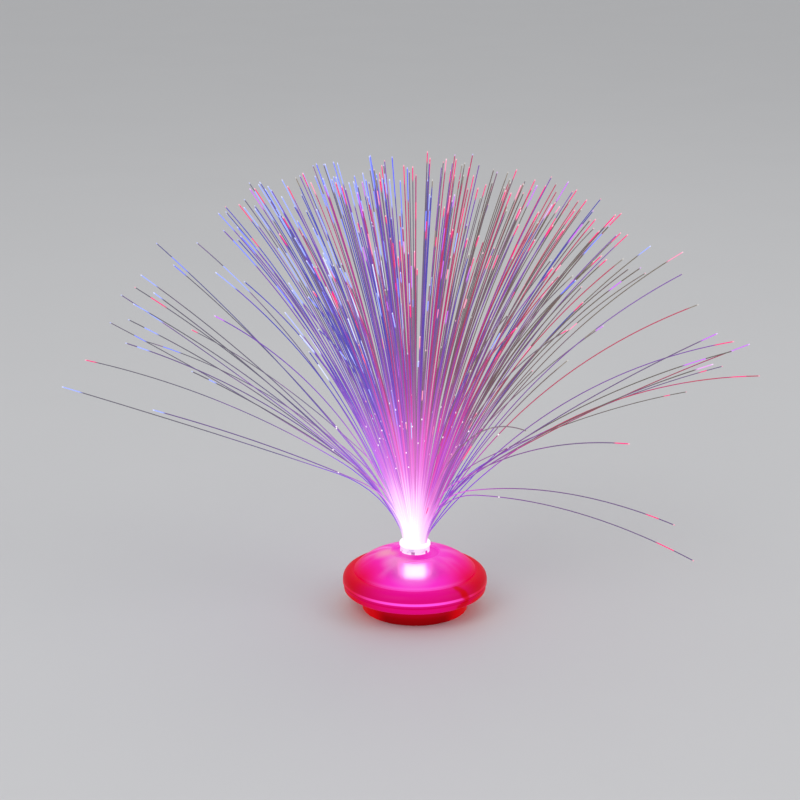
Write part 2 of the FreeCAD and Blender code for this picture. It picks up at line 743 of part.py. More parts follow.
# ---- screws ----
def make_screws():
    nodes["cover_screws"] = Part.makeCompound([
        pan_screw(x, y, cover_z + screw_head_h, cover_screw_len, True) for x, y in cover_posts()])
    nodes["shell_screws"] = Part.makeCompound([
        pan_screw(x, y, shell_seat_z, shell_screw_len, True) for x, y in shell_posts()])
    nodes["board_screws"] = Part.makeCompound([
        pan_screw(sx * board_post_x, 0, board_top, board_screw_len, False) for sx in (-1, 1)])


# ---- wires: each from a terminal to a board hole ----
def make_wires():
    below = board_z + fit_gap
    at_tab = bay_half_x + wire_r + wire_touch
    tab_wire_z = roof_top + wire_above_tab
    over_pin = pin_top + wire_r + wire_touch
    plus_x, plus_y = wire_pads["plus"]
    plus_end = [(plus_x, plus_y, board_top + wire_above), (plus_x, plus_y, below)]
    nodes["wire_red"] = wire([(at_tab, -cell_pitch, tab_wire_z)] + red_route + plus_end)
    black_end = [(switch_pins[0], switch_y, over_pin)]
    nodes["wire_black"] = wire([(-at_tab, cell_pitch, tab_wire_z)] + black_route + black_end)
    pad_x, pad_y = wire_pads["switch"]
    switch_end = [(pad_x, pad_y, below)]
    nodes["wire_switch"] = wire([(switch_pins[1], switch_y, over_pin)] + switch_route + switch_end)


# ---- ferrule ----
def make_ferrule():
    round_at = (flange_r - flange_round, mouth_z - flange_round)
    rounding, r0, r1 = arc_on(round_at, flange_round, 0, 90)
    edges = [
        line((bore_r, plug_z), (plug_r - plug_bevel, plug_z)),
        line((plug_r - plug_bevel, plug_z), (plug_r, plug_z + plug_bevel)),
        line((plug_r, plug_z + plug_bevel), (plug_r, neck_z)),
        line((plug_r, neck_z), (skirt_r, neck_z)),
        line((skirt_r, neck_z), (skirt_r, skirt_top)),
        line((skirt_r, skirt_top), (flange_r, skirt_top + flange_bevel)),
        line((flange_r, skirt_top + flange_bevel), r0),
        rounding,
        line(r1, (bore_r + bore_flare, mouth_z)),
        line((bore_r + bore_flare, mouth_z), (bore_r, mouth_z - exit_below)),
        line((bore_r, mouth_z - exit_below), (bore_r, plug_z)),
    ]
    ferrule = turn(edges)
    for k in range(notch_count):
        notch = bar(-notch_w / 2, notch_w / 2, -flange_r, -skirt_r + notch_depth, neck_z, neck_z + notch_h)
        ferrule = ferrule.cut(turned(notch, notch_turn + 360.0 / notch_count * k))
    nodes["ferrule"] = ferrule.removeSplitter()


# ---- fibres ----
def hex_points(pitch, radius):
    rows = int(radius / pitch) + 2
    found = []
    for i in range(-rows, rows + 1):
        for j in range(-rows, rows + 1):
            x = pitch * math.sqrt(3) / 2 * i
            y = pitch * (j + i / 2)
            if math.hypot(x, y) <= radius:
                found.append((x, y))
    return found


def nearest(spot, spots):
    return min(spots, key=lambda s: (s[0] - spot[0]) ** 2 + (s[1] - spot[1]) ** 2)


def fibre(x, y, direction, bends):
    """One strand: straight in the ferrule, then tangent arcs given as (lean at the end, length)."""
    out = Vector(math.cos(direction), math.sin(direction), 0)
    up = Vector(0, 0, 1)
    start = Vector(x, y, plug_z)
    here = Vector(x, y, mouth_z - exit_below)
    edges = [Part.LineSegment(start, here).toShape()]
    lean = 0.0
    for lean_end, length in bends:
        sweep = math.radians(lean_end) - lean
        radius = length / sweep
        spots = []
        for share in (0.5, 1.0):
            a = lean + sweep * share
            side = radius * (math.cos(lean) - math.cos(a))
            rise = radius * (math.sin(a) - math.sin(lean))
            spots.append(here + out * side + up * rise)
        edges.append(Part.Arc(here, spots[0], spots[1]).toShape())
        here = spots[1]
        lean += sweep
    return tube_along(Part.Wire(edges), fibre_d / 2, start, up)


def make_fibres():
    rng = random.Random(seed)
    seats = hex_points(fibre_pitch, bundle_r)
    turn_cos = math.cos(math.radians(clump_turn))
    turn_sin = math.sin(math.radians(clump_turn))
    clumps = [(turn_cos * x - turn_sin * y, turn_sin * x + turn_cos * y)
              for x, y in hex_points(clump_pitch, bundle_r + clump_margin)]
    stray_solids = []
    for angle, bend_lean, tip_lean in stray_angles:
        a = math.radians(angle)
        seat = nearest((bundle_r * math.cos(a), bundle_r * math.sin(a)), seats)
        seats.remove(seat)
        length = fibre_len - fibre_trim * rng.random()
        bends = [(stray_exit, exit_len), (bend_lean, stray_bend_len),
                 (tip_lean, length + exit_below - exit_len - stray_bend_len)]
        stray_solids.append(fibre(seat[0], seat[1], math.atan2(seat[1], seat[0]), bends))
    groups = {name: [] for name in group_names}
    for x, y in seats:
        cx, cy = nearest((x, y), clumps)
        wx = x + clump_pull * (cx - x) + lean_jitter * (2 * rng.random() - 1)
        wy = y + clump_pull * (cy - y) + lean_jitter * (2 * rng.random() - 1)
        share = min(math.hypot(wx, wy) / bundle_r, 1.0)
        direction = math.atan2(wy, wx)
        mean_lean = fan_lean * share + edge_lean * max(0.0, (share - edge_from) / (1 - edge_from)) ** 2
        mean_lean *= 1 + fan_skew * math.cos(direction)
        full = fibre_len - fibre_trim * rng.random()
        draw = rng.random()
        length = full * next(part for limit, part in tiers if draw < limit)
        # a shorter strand bends as the full one would, and ends sooner
        exit_lean = exit_share * mean_lean
        cut = (length + exit_below - exit_len) / (full + exit_below - exit_len)
        bends = [(exit_lean, exit_len),
                 (exit_lean + 2 * (mean_lean - exit_lean) * cut, length + exit_below - exit_len)]
        name = next(n for n, limit in zip(group_names, group_edges) if math.hypot(x, y) / bundle_r < limit)
        groups[name].append(fibre(x, y, direction, bends))
    for name, solids in groups.items():
        nodes[name] = Part.makeCompound(solids)
    nodes["fibres_stray"] = Part.makeCompound(stray_solids)


make_upper_shell()
make_lower_shell()
make_bottom_cover()
make_battery_door()
make_batteries()
make_contacts()
make_board()
make_leds()
make_light_cup()
make_board_parts()
make_switch()
make_screws()
make_wires()
make_ferrule()
make_fibres()

os.makedirs("parts", exist_ok=True)
for name, shape in nodes.items():
    shape.exportStep("parts/" + name + ".step")
    print(name, len(shape.Solids), "solids,", round(shape.Volume, 2), "mm3, valid", shape.isValid())
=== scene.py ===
import bpy
import math
import random
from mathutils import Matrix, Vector


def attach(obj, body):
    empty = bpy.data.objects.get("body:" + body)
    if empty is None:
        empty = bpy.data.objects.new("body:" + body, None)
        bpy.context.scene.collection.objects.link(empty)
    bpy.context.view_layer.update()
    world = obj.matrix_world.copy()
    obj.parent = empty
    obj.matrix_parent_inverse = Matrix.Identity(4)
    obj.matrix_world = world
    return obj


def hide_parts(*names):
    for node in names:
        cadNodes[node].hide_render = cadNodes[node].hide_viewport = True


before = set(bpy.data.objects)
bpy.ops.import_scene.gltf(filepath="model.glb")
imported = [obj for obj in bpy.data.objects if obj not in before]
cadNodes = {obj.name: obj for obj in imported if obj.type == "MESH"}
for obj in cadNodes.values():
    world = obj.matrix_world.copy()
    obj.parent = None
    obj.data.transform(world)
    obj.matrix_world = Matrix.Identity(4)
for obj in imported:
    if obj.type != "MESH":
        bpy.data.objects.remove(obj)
mm = 0.001
black, white = (0, 0, 0, 1), (1, 1, 1, 1)


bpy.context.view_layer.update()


def tone(red, green, blue):
    # a screen colour, 0 to 255, as the linear colour that a shader takes
    linear = [v / 255 / 12.92 if v < 11 else ((v / 255 + 0.055) / 1.055) ** 2.4 for v in (red, green, blue)]
    return (*linear, 1.0)


def dim(colour, share):
    return (*[v * share for v in colour[:3]], 1.0)


def mixed(first, second, share):
    return (*[a + (b - a) * share for a, b in zip(first[:3], second[:3])], 1.0)


# A shader socket that takes part in sums: each sign adds the Math node that it stands for.
class Flow:
    def __init__(self, finish, socket):
        self.finish, self.socket = finish, socket

    def __add__(self, other):
        return self.finish.maths("ADD", self, other)

    def __radd__(self, other):
        return self.finish.maths("ADD", other, self)

    def __sub__(self, other):
        return self.finish.maths("SUBTRACT", self, other)

    def __rsub__(self, other):
        return self.finish.maths("SUBTRACT", other, self)

    def __mul__(self, other):
        return self.finish.maths("MULTIPLY", self, other)

    def __rmul__(self, other):
        return self.finish.maths("MULTIPLY", other, self)

    def __truediv__(self, other):
        return self.finish.maths("DIVIDE", self, other)

    def __rtruediv__(self, other):
        return self.finish.maths("DIVIDE", other, self)

    def __pow__(self, other):
        return self.finish.maths("POWER", self, other)

    def __gt__(self, other):
        return self.finish.maths("GREATER_THAN", self, other)

    def out(self, name):
        return Flow(self.finish, self.socket.node.outputs[name])


# A material under construction.
class Finish:
    def __init__(self, name):
        self.material = bpy.data.materials.new(name)
        self.material.use_nodes = True
        self.tree = self.material.node_tree
        self.tree.nodes.clear()

    def add(self, kind, settings=None, inputs=None, out=0):
        node = self.tree.nodes.new(kind)
        for name, value in (settings or {}).items():
            if name == "stops":
                ramp = node.color_ramp
                while len(ramp.elements) < len(value):
                    ramp.elements.new(0.5)
                for stop, (place, colour) in zip(ramp.elements, value):
                    stop.position, stop.color = place, colour
            else:
                setattr(node, name, value)
        for name, value in (inputs or {}).items():
            if isinstance(value, Flow):
                self.tree.links.new(value.socket, node.inputs[name])
            else:
                node.inputs[name].default_value = value
        return Flow(self, node.outputs[out])

    def maths(self, operation, *values):
        return self.add("ShaderNodeMath", {"operation": operation}, dict(enumerate(values)))

    def vectors(self, operation, *values, out="Vector"):
        return self.add("ShaderNodeVectorMath", {"operation": operation}, dict(enumerate(values)), out)

    def spot(self):
        return self.add("ShaderNodeTexCoord", out="Object")

    def axes(self, names):
        # the spot in the lamp's own frame, and those of its coordinates that are named, in millimetres
        spot = self.spot()
        split = self.add("ShaderNodeSeparateXYZ", None, {0: spot})
        return (spot, *(split.out(name) * (1 / mm) for name in names))

    def smooth(self, value, low, high):
        # 0 below low, 1 above high
        return self.add("ShaderNodeMapRange", {"interpolation_type": "SMOOTHSTEP"},
                        {"Value": value, "From Min": low, "From Max": high})

    def band(self, value, low, lowFull, highFull, high):
        # 1 from lowFull to highFull, 0 below low and above high
        return self.smooth(value, low, lowFull) * (1 - self.smooth(value, highFull, high))

    def blend(self, first, second, share):
        return self.add("ShaderNodeMix", {"data_type": "RGBA"}, {0: share, 6: first, 7: second}, 2)

    def ramp(self, value, low, high, stops):
        # stops are (value, colour) between low and high
        share = self.add("ShaderNodeMapRange", None, {"Value": value, "From Min": low, "From Max": high})
        spaced = [((place - low) / (high - low), colour) for place, colour in stops]
        return self.add("ShaderNodeValToRGB", {"stops": spaced}, {"Fac": share})

    def noise(self, spot, scale, detail=2.0, rough=0.5):
        return self.add("ShaderNodeTexNoise", None,
                        {"Vector": spot, "Scale": scale, "Detail": detail, "Roughness": rough})

    def bump(self, height, strength, distance):
        return self.add("ShaderNodeBump", None,
                        {"Height": height, "Strength": strength, "Distance": distance}, "Normal")

    def shine(self, **inputs):
        # the Principled shader; names are its sockets' without spaces
        names = {"BaseColor": "Base Color", "CoatWeight": "Coat Weight", "CoatRoughness": "Coat Roughness",
                 "EmissionColor": "Emission Color", "EmissionStrength": "Emission Strength",
                 "TransmissionWeight": "Transmission Weight", "Gloss": "Specular IOR Level"}
        return self.add("ShaderNodeBsdfPrincipled", None, {names.get(k, k): v for k, v in inputs.items()})

    def done(self, shader):
        end = self.tree.nodes.new("ShaderNodeOutputMaterial")
        self.tree.links.new(shader.socket, end.inputs["Surface"])
        return self.material


def fromAxis(x, y):
    return (x * x + y * y) ** 0.5


def dress(names, material):
    for name in names:
        mesh = cadNodes[name].data
        mesh.materials.clear()
        mesh.materials.append(material)


def newObject(name, data):
    thing = bpy.data.objects.new(name, data)
    bpy.context.scene.collection.objects.link(thing)
    return thing


print("stage: camera, floor and light")
view = {"focal": 90.0, "sensor": 36.0, "reach": 20.0, "pitch": 16.7,
        "distance": 1.186, "right": 0.008776, "down": 0.12186}


def makeCamera():
    pitch = math.radians(view["pitch"])
    data = bpy.data.cameras.new("camera")
    data.lens, data.sensor_width, data.clip_end = view["focal"], view["sensor"], view["reach"]
    camera = newObject("camera", data)
    camera.location = (-view["right"], math.sin(pitch) * view["down"] - math.cos(pitch) * view["distance"],
                       math.cos(pitch) * view["down"] + math.sin(pitch) * view["distance"])
    camera.rotation_euler = (math.radians(90) - pitch, 0, 0)
    bpy.context.scene.camera = camera
    bpy.context.scene.view_settings.view_transform = "Standard"


studio = {
    "floor": (0.57, 0.57, 0.58, 1.0), "floorReach": 60.0, "floorClouds": 6.0, "floorShade": 0.97,
    "floorRough": 0.6, "floorGloss": 0.25,
    "world": (0.98, 0.99, 1.0, 1.0), "worldLevel": 0.75, "seenLevel": 0.75,
    # place, size and watts of each soft lamp, and the point that they face
    "lamps": [((-0.9, -1.1, 1.5), 1.3, 9.0), ((1.3, -0.6, 1.1), 1.1, 4.0), ((0.3, 0.8, 1.7), 1.4, 3.0)],
    "aim": (0, 0, 0.12),
}


def floorFinish():
    sheet = Finish("paleFloor")
    cloud = sheet.noise(sheet.spot(), studio["floorClouds"], 3.0)
    colour = sheet.blend(studio["floor"], dim(studio["floor"], studio["floorShade"]), cloud)
    # it can be looked through from below
    under = sheet.add("ShaderNodeNewGeometry", out="Backfacing")
    clear = sheet.add("ShaderNodeBsdfTransparent")
    matt = sheet.shine(BaseColor=colour, Roughness=studio["floorRough"], Gloss=studio["floorGloss"])
    return sheet.done(sheet.add("ShaderNodeMixShader", None, {0: under, 1: matt, 2: clear}))


def makeFloor():
    mesh = bpy.data.meshes.new("floor")
    reach = studio["floorReach"]
    mesh.from_pydata([(-reach, -reach, 0), (reach, -reach, 0), (reach, reach, 0), (-reach, reach, 0)],
                     [], [(0, 1, 2, 3)])
    mesh.materials.append(floorFinish())
    floor = newObject("floor", mesh)


def makeWorld():
    # the world lights the lamp; where it is seen, or shows in plastic and metal, it has the floor's own grey
    world = bpy.data.worlds.new("studio")
    world.use_nodes = True
    bpy.context.scene.world = world
    nodes, links = world.node_tree.nodes, world.node_tree.links
    lit, seen = nodes.new("ShaderNodeBackground"), nodes.new("ShaderNodeBackground")
    mix, path = nodes.new("ShaderNodeMixShader"), nodes.new("ShaderNodeLightPath")
    for shade, colour, level in [(lit, studio["world"], studio["worldLevel"]),
                                 (seen, studio["floor"], studio["seenLevel"])]:
        shade.inputs["Color"].default_value, shade.inputs["Strength"].default_value = colour, level
    rays = path.outputs["Is Camera Ray"]
    for kind in ("Is Glossy Ray", "Is Transmission Ray"):
        either = nodes.new("ShaderNodeMath")
        either.operation = "MAXIMUM"
        links.new(rays, either.inputs[0])
        links.new(path.outputs[kind], either.inputs[1])
        rays = either.outputs[0]
    for k, socket in enumerate((rays, lit.outputs[0], seen.outputs[0])):
        links.new(socket, mix.inputs[k])
    links.new(mix.outputs[0], nodes["World Output"].inputs["Surface"])


def makeLamps():
    for spot, size, watts in studio["lamps"]:
        data = bpy.data.lights.new("softbox", "AREA")
        data.shape, data.size, data.energy = "DISK", size, watts
        lamp = newObject("softbox", data)
        lamp.location = spot
        lamp.rotation_euler = (Vector(studio["aim"]) - Vector(spot)).to_track_quat("-Z", "Y").to_euler()


makeCamera()
makeFloor()
makeWorld()
makeLamps()

print("stage: shells")
# what both shells share: lengths are in millimetres, except that a bump's depth is in metres
moulded = {
    "level": 0.70, "body": 0.34, "gloss": 0.05, "rough": 0.30, "roughSwing": 0.14,
    "grain": 900.0, "wave": 70.0, "bump": 0.2, "bumpDepth": 0.0004, "grainBump": 0.06,
    "axisSoft": 4, "lineCore": 0.3,
}
dome = {
    # its light by distance from the axis, at the front and at the sides
    "front": [(0.0, tone(250, 84, 214)), (9.4, tone(238, 52, 192)), (13.6, tone(236, 48, 190)),
              (14.2, tone(255, 136, 232)), (15.0, tone(250, 112, 224)), (21.0, tone(248, 84, 218)),
              (27.0, tone(250, 58, 214)), (34.4, tone(250, 48, 206)), (35.4, tone(255, 84, 216)),
              (36.6, tone(232, 14, 150)), (40.0, tone(228, 8, 142)), (42.5, tone(226, 6, 128))],
    "sides": [(0.0, tone(250, 84, 214)), (13.6, tone(240, 56, 196)), (14.2, tone(246, 74, 208)),
              (18.0, tone(245, 60, 200)), (25.0, tone(243, 30, 168)), (31.0, tone(238, 8, 122)),
              (34.5, tone(230, 0, 80)), (37.0, tone(218, 0, 44)), (42.5, tone(200, 0, 34))],
    "edge": 42.5, "sideFrom": (-0.05, 0.80),
    # pale wedges that the strips of light leave on it, weaker at the right
    "wedgeTint": tone(252, 158, 232), "wedgeStretch": (1.0, 1.0, 0.15), "wedgeScale": 3.6,
    "wedgeLevels": (0.48, 0.70), "wedgeBand": (14.5, 16.0, 22, 34), "wedgeRight": (2, 14), "wedgeLoss": 0.6,
    "wedgeShare": 0.55,
    # painted light: pale clouds of the cup's glow where it shows through: tint, middle, inner and outer
    # reach, share
    "clouds": [(tone(243, 132, 224), (-0.8, -24.6, 31.7), 5, 16, 0.6),
               (tone(241, 150, 208), (-10, -14, 33.8), 2, 12, 0.75),
               (tone(241, 158, 184), (-17, -1, 33.7), 1, 10, 0.85)],
    # painted light: the cup's bright front, painted on the dome where it shows through: tint, start, end,
    # width, share
    "patch": (tone(255, 240, 252), (-3.6, -24.4, 31.7), (2.8, -24.4, 31.7), 7.6, 0.45),
    # painted highlight on the bead above the seam, by height, bright pink at the front and red at the sides
    "beadLight": (16.5, 17.0, 17.9, 18.6), "beadLightFront": tone(255, 84, 226), "beadLightSide": tone(226, 4, 60),
    "beadLightShare": 0.9,
    # painted shadow of a screw post and a wire inside the shell, as a dark streak through these points
    "streak": [(23.9, -30.0, 22.6), (27.9, -31.0, 20.0), (29.5, -29.4, 16.4)],
    "shadowTint": tone(206, 0, 20), "shadowWidth": 3.4, "shadowShare": 0.9,
    # how far the haze lets the inside through, by distance from the axis
    "seeThrough": 0.6, "seeBand": (13.4, 14.6, 27, 34), "seeSideLoss": 0.85,
    "hazeTint": tone(255, 190, 240), "hazeRough": 0.34, "hazeBend": 1.22, "hazeGloss": 0.3,
}
bowl = {
    # painted light of the rim: magenta at the front, red at the sides
    "rimFront": tone(228, 6, 126), "rimSide": tone(214, 0, 30), "rimFrom": (-0.05, 0.75),
    # painted shade on the foot, darker towards the bottom under the rim, by height, and painted light that
    # makes it redder at its sides
    "foot": [(0, tone(130, 1, 8)), (4, tone(154, 1, 8)), (8, tone(194, 0, 38)), (11, tone(222, 2, 106))],
    "footTop": 11, "footSide": tone(216, 0, 14), "footFrom": (0.25, 0.62), "footShare": 0.9,
    "clouds": 60.0, "cloudLift": 5.0, "rimStart": (9.6, 11.6),
    # painted shade in the groove under the seam
    "lip": (14.2, 14.8), "lipShade": tone(214, 0, 92), "lipShare": 0.8,
    # painted shadow of the same post and wire, carried on below the seam
    "streak": [(30.0, -29.6, 15.0), (25.2, -33.2, 12.1)],
    "shadowTint": tone(198, 0, 18), "shadowWidth": 3.0, "shadowShare": 0.9,
}


def nearSpot(sheet, spot, middle, inner, outer):
    # 1 within inner of a point and 0 beyond outer
    gap = sheet.vectors("DISTANCE", spot, tuple(v * mm for v in middle), out="Value")
    return 1 - sheet.smooth(gap, inner * mm, outer * mm)


def nearLine(sheet, spot, start, end, width):
    # 1 on the line between two points and 0 at width from it
    a, b = Vector(start) * mm, Vector(end) * mm
    along = (b - a) / (b - a).length_squared
    offset = sheet.vectors("SUBTRACT", spot, tuple(a))
    share = sheet.vectors("DOT_PRODUCT", offset, tuple(along), out="Value")
    held = sheet.add("ShaderNodeClamp", None, {"Value": share})
    reach = sheet.add("ShaderNodeVectorMath", {"operation": "SCALE"}, {0: tuple(b - a), "Scale": held})
    gap = sheet.vectors("DISTANCE", offset, reach, out="Value")
    return 1 - sheet.smooth(gap, moulded["lineCore"] * width * mm, width * mm)


def atSides(sheet, x, r, low, high):
    # 0 at the front and the back, 1 at the left and the right
    return sheet.smooth((x * x) / (r * r + moulded["axisSoft"]), low, high)


# painted shadow: darkens the colour along each line of a piece's streak
def paintedShadowStreak(sheet, spot, colour, piece):
    for start, end in zip(piece["streak"], piece["streak"][1:]):
        near = nearLine(sheet, spot, start, end, piece["shadowWidth"])
        colour = sheet.blend(colour, piece["shadowTint"], near * piece["shadowShare"])
    return colour


def litShell(sheet, spot, colour, brightest):
    # moulded plastic lit from inside: part of its colour is its own light, all of it where brightest is 1
    grain = sheet.noise(spot, moulded["grain"], 2.0)
    wave = sheet.noise(spot, moulded["wave"], 1.0)
    own = sheet.blend(colour, black, 1 - moulded["level"])
    relief = sheet.bump(wave + grain * moulded["grainBump"], moulded["bump"], moulded["bumpDepth"])
    return sheet.shine(BaseColor=sheet.blend(colour, black, 1 - moulded["body"]),
                       Roughness=moulded["rough"] + grain * moulded["roughSwing"], Gloss=moulded["gloss"],
                       Normal=relief, EmissionColor=sheet.blend(own, colour, brightest), EmissionStrength=1.0)


def domeFinish():
    sheet = Finish("litPinkPlastic")
    spot, x, y, z = sheet.axes("XYZ")
    r = fromAxis(x, y)
    side = atSides(sheet, x, r, *dome["sideFrom"])
    front, sides = (sheet.ramp(r, 0, dome["edge"], dome[part]) for part in ("front", "sides"))
    colour = sheet.blend(front, sides, side)
    squashed = sheet.add("ShaderNodeMapping", None, {"Vector": spot, "Scale": dome["wedgeStretch"]})
    wedges = sheet.noise(sheet.vectors("NORMALIZE", squashed), dome["wedgeScale"], 1.0)
    fade = sheet.band(r, *dome["wedgeBand"]) * (1 - sheet.smooth(x, *dome["wedgeRight"]) * dome["wedgeLoss"])
    wedgeShare = sheet.smooth(wedges, *dome["wedgeLevels"]) * fade * dome["wedgeShare"]
    colour = sheet.blend(colour, dome["wedgeTint"], wedgeShare)
    # painted light of the cup around its bright front
    for tint, middle, inner, outer, share in dome["clouds"]:
        colour = sheet.blend(colour, tint, nearSpot(sheet, spot, middle, inner, outer) * share)
    # painted light of the cup's bright front
    tint, start, end, width, share = dome["patch"]
    colour = sheet.blend(colour, tint, nearLine(sheet, spot, start, end, width) * share)
    # painted highlight along the bead above the seam
    beadLight = sheet.band(z, *dome["beadLight"])
    beadLightTint = sheet.blend(dome["beadLightFront"], dome["beadLightSide"], side)
    colour = sheet.blend(colour, beadLightTint, beadLight * dome["beadLightShare"])
    colour = paintedShadowStreak(sheet, spot, colour, dome)
    skin = litShell(sheet, spot, colour, beadLight * (1 - side))
    haze = sheet.shine(BaseColor=dome["hazeTint"], Roughness=dome["hazeRough"], TransmissionWeight=1.0,
                       IOR=dome["hazeBend"], Gloss=dome["hazeGloss"])
    seeThrough = dome["seeThrough"] * sheet.band(r, *dome["seeBand"]) * (1 - side * dome["seeSideLoss"])
    return sheet.done(sheet.add("ShaderNodeMixShader", None, {0: seeThrough, 1: skin, 2: haze}))


def bowlFinish():
    sheet = Finish("litRedPlastic")
    spot, x, y, z = sheet.axes("XYZ")
    r = fromAxis(x, y)
    # painted light: the rim magenta at the front and red at the sides
    rim = sheet.blend(bowl["rimFront"], bowl["rimSide"], atSides(sheet, x, r, *bowl["rimFrom"]))
    # the foot's painted shade, darker towards the bottom, with painted light at its sides
    foot = sheet.ramp(z, 0, bowl["footTop"], bowl["foot"])
    foot = sheet.blend(foot, bowl["footSide"], atSides(sheet, x, r, *bowl["footFrom"]) * bowl["footShare"])
    cloud = sheet.noise(spot, bowl["clouds"], 2.0)
    height = z + (cloud - 0.5) * bowl["cloudLift"]
    colour = sheet.blend(foot, rim, sheet.smooth(height, *bowl["rimStart"]))
    # painted shade in the groove under the seam
    colour = sheet.blend(colour, bowl["lipShade"], sheet.smooth(z, *bowl["lip"]) * bowl["lipShare"])
    colour = paintedShadowStreak(sheet, spot, colour, bowl)
    return sheet.done(litShell(sheet, spot, colour, 0.0))


dress(["upper_shell"], domeFinish())
dress(["lower_shell"], bowlFinish())

print("stage: inner parts")
# nodes, tint, roughness and light of its own
plastics = {
    "redCover": (["bottom_cover", "battery_door"], tone(186, 2, 28), 0.42, 0.3),
    "switchKnob": (["switch_slider"], tone(30, 30, 32), 0.4, 0.0),
    "wireRed": (["wire_red"], tone(196, 26, 26), 0.35, 0.0),
    "wireBlack": (["wire_black"], tone(34, 34, 36), 0.35, 0.0),
    "wireWhite": (["wire_switch"], tone(222, 222, 216), 0.35, 0.0),
}
plasticGrain = {"clouds": 70.0, "grain": 700.0, "shade": 0.86, "roughSwing": 0.2, "gloss": 0.35,
                "bump": 0.3, "bumpDepth": 0.0002}
# nodes, tint, roughness and how its drawn lines are squashed
metals = {
    "nickelStrip": (["contact_plus", "contact_minus", "bridge_left", "bridge_right", "switch_terminals"],
                    tone(214, 210, 198), 0.26, (1.0, 1.0, 14.0)),
    "switchShell": (["switch_housing"], tone(200, 200, 202), 0.34, (14.0, 1.0, 1.0)),
    "zincScrews": (["cover_screws", "shell_screws", "board_screws"],
                   tone(196, 194, 186), 0.3, (1.0, 1.0, 4.0)),
}
metalGrain = {"clouds": 120.0, "lines": 900.0, "shade": 0.8, "roughLess": 0.08, "roughSwing": 0.2,
              "bump": 0.2, "bumpDepth": 0.0001}


def plasticFinish(name, colour, rough, light):
    sheet = Finish(name)
    spot = sheet.spot()
    cloud = sheet.noise(spot, plasticGrain["clouds"], 3.0)
    grain = sheet.noise(spot, plasticGrain["grain"], 3.0)
    swing = plasticGrain["roughSwing"]
    shade = sheet.blend(dim(colour, plasticGrain["shade"]), colour, cloud)
    return sheet.done(sheet.shine(BaseColor=shade, Roughness=rough - swing / 2 + grain * swing,
                                  Gloss=plasticGrain["gloss"], EmissionColor=shade, EmissionStrength=light,
                                  Normal=sheet.bump(grain, plasticGrain["bump"], plasticGrain["bumpDepth"])))


def metalFinish(name, colour, rough, squash):
    sheet = Finish(name)
    spot = sheet.spot()
    drawn = sheet.add("ShaderNodeMapping", None, {"Vector": spot, "Scale": squash})
    lines = sheet.noise(drawn, metalGrain["lines"], 4.0, 0.6)
    cloud = sheet.noise(spot, metalGrain["clouds"], 2.0)
    shade = sheet.blend(dim(colour, metalGrain["shade"]), colour, cloud)
    roughness = rough - metalGrain["roughLess"] + lines * metalGrain["roughSwing"]
    return sheet.done(sheet.shine(BaseColor=shade, Metallic=1.0, Roughness=roughness,
                                  Normal=sheet.bump(lines, metalGrain["bump"], metalGrain["bumpDepth"])))


cell = {
    # its bands from one end to the other, in millimetres from its middle
    "half": 24,
    "bands": [(-24, tone(190, 186, 178)), (-22.6, tone(32, 44, 62)), (8, tone(40, 56, 78)),
              (8.4, tone(196, 148, 64)), (20.2, tone(206, 160, 78)), (20.6, tone(196, 194, 188))],
    "wrapped": (-22.7, -22.5, 20.5, 20.7), "wrapMetal": 0.35, "bareMetal": 0.6,
    "rub": 400.0, "rubLevels": (0.66, 0.8), "rubTint": dim(tone(190, 186, 178), 0.8), "rubShare": 0.4,
    "rough": 0.24, "roughSwing": 0.18, "bump": 0.15, "bumpDepth": 0.0001,
}


def cellFinish(name, way):
    # way is 1 where the positive end is at +X
    sheet = Finish(name)
    spot, x = sheet.axes("X")
    end = x * way
    wrap = sheet.ramp(end, -cell["half"], cell["half"], cell["bands"])
    wrap.socket.node.color_ramp.interpolation = "CONSTANT"
    bare = 1 - sheet.band(end, *cell["wrapped"])
    rub = sheet.noise(spot, cell["rub"], 4.0, 0.6)
    shade = sheet.blend(wrap, cell["rubTint"], sheet.smooth(rub, *cell["rubLevels"]) * cell["rubShare"])
    return sheet.done(sheet.shine(BaseColor=shade, Metallic=cell["wrapMetal"] + bare * cell["bareMetal"],
                                  Roughness=cell["rough"] + rub * cell["roughSwing"],
                                  Normal=sheet.bump(rub, cell["bump"], cell["bumpDepth"])))


board = {
    "copper": {"Color1": tone(34, 92, 52), "Color2": tone(30, 84, 48), "Mortar": tone(52, 132, 74),
               "Scale": 260.0, "Mortar Size": 0.03, "Brick Width": 0.9, "Row Height": 0.5},
    "edge": (19.8, 19.95), "edgeTint": tone(170, 146, 92), "weave": 1500.0, "weaveTint": tone(20, 60, 34),
    "weaveShare": 0.3, "rough": 0.35, "roughSwing": 0.2, "coat": 0.3, "coatRough": 0.2,
    "bump": 0.2, "bumpDepth": 0.0001,
}


def boardFinish():
    sheet = Finish("circuitBoard")
    spot, x, y = sheet.axes("XY")
    bricks = {"Vector": spot, **board["copper"]}
    copper = sheet.add("ShaderNodeTexBrick", {"offset": 0.5, "squash": 1.0}, bricks)
    weave = sheet.noise(spot, board["weave"], 3.0)
    shade = sheet.blend(copper, board["edgeTint"], sheet.smooth(fromAxis(x, y), *board["edge"]))
    shade = sheet.blend(shade, board["weaveTint"], weave * board["weaveShare"])
    return sheet.done(sheet.shine(BaseColor=shade, Roughness=board["rough"] + weave * board["roughSwing"],
                                  CoatWeight=board["coat"], CoatRoughness=board["coatRough"],
                                  Normal=sheet.bump(weave, board["bump"], board["bumpDepth"])))


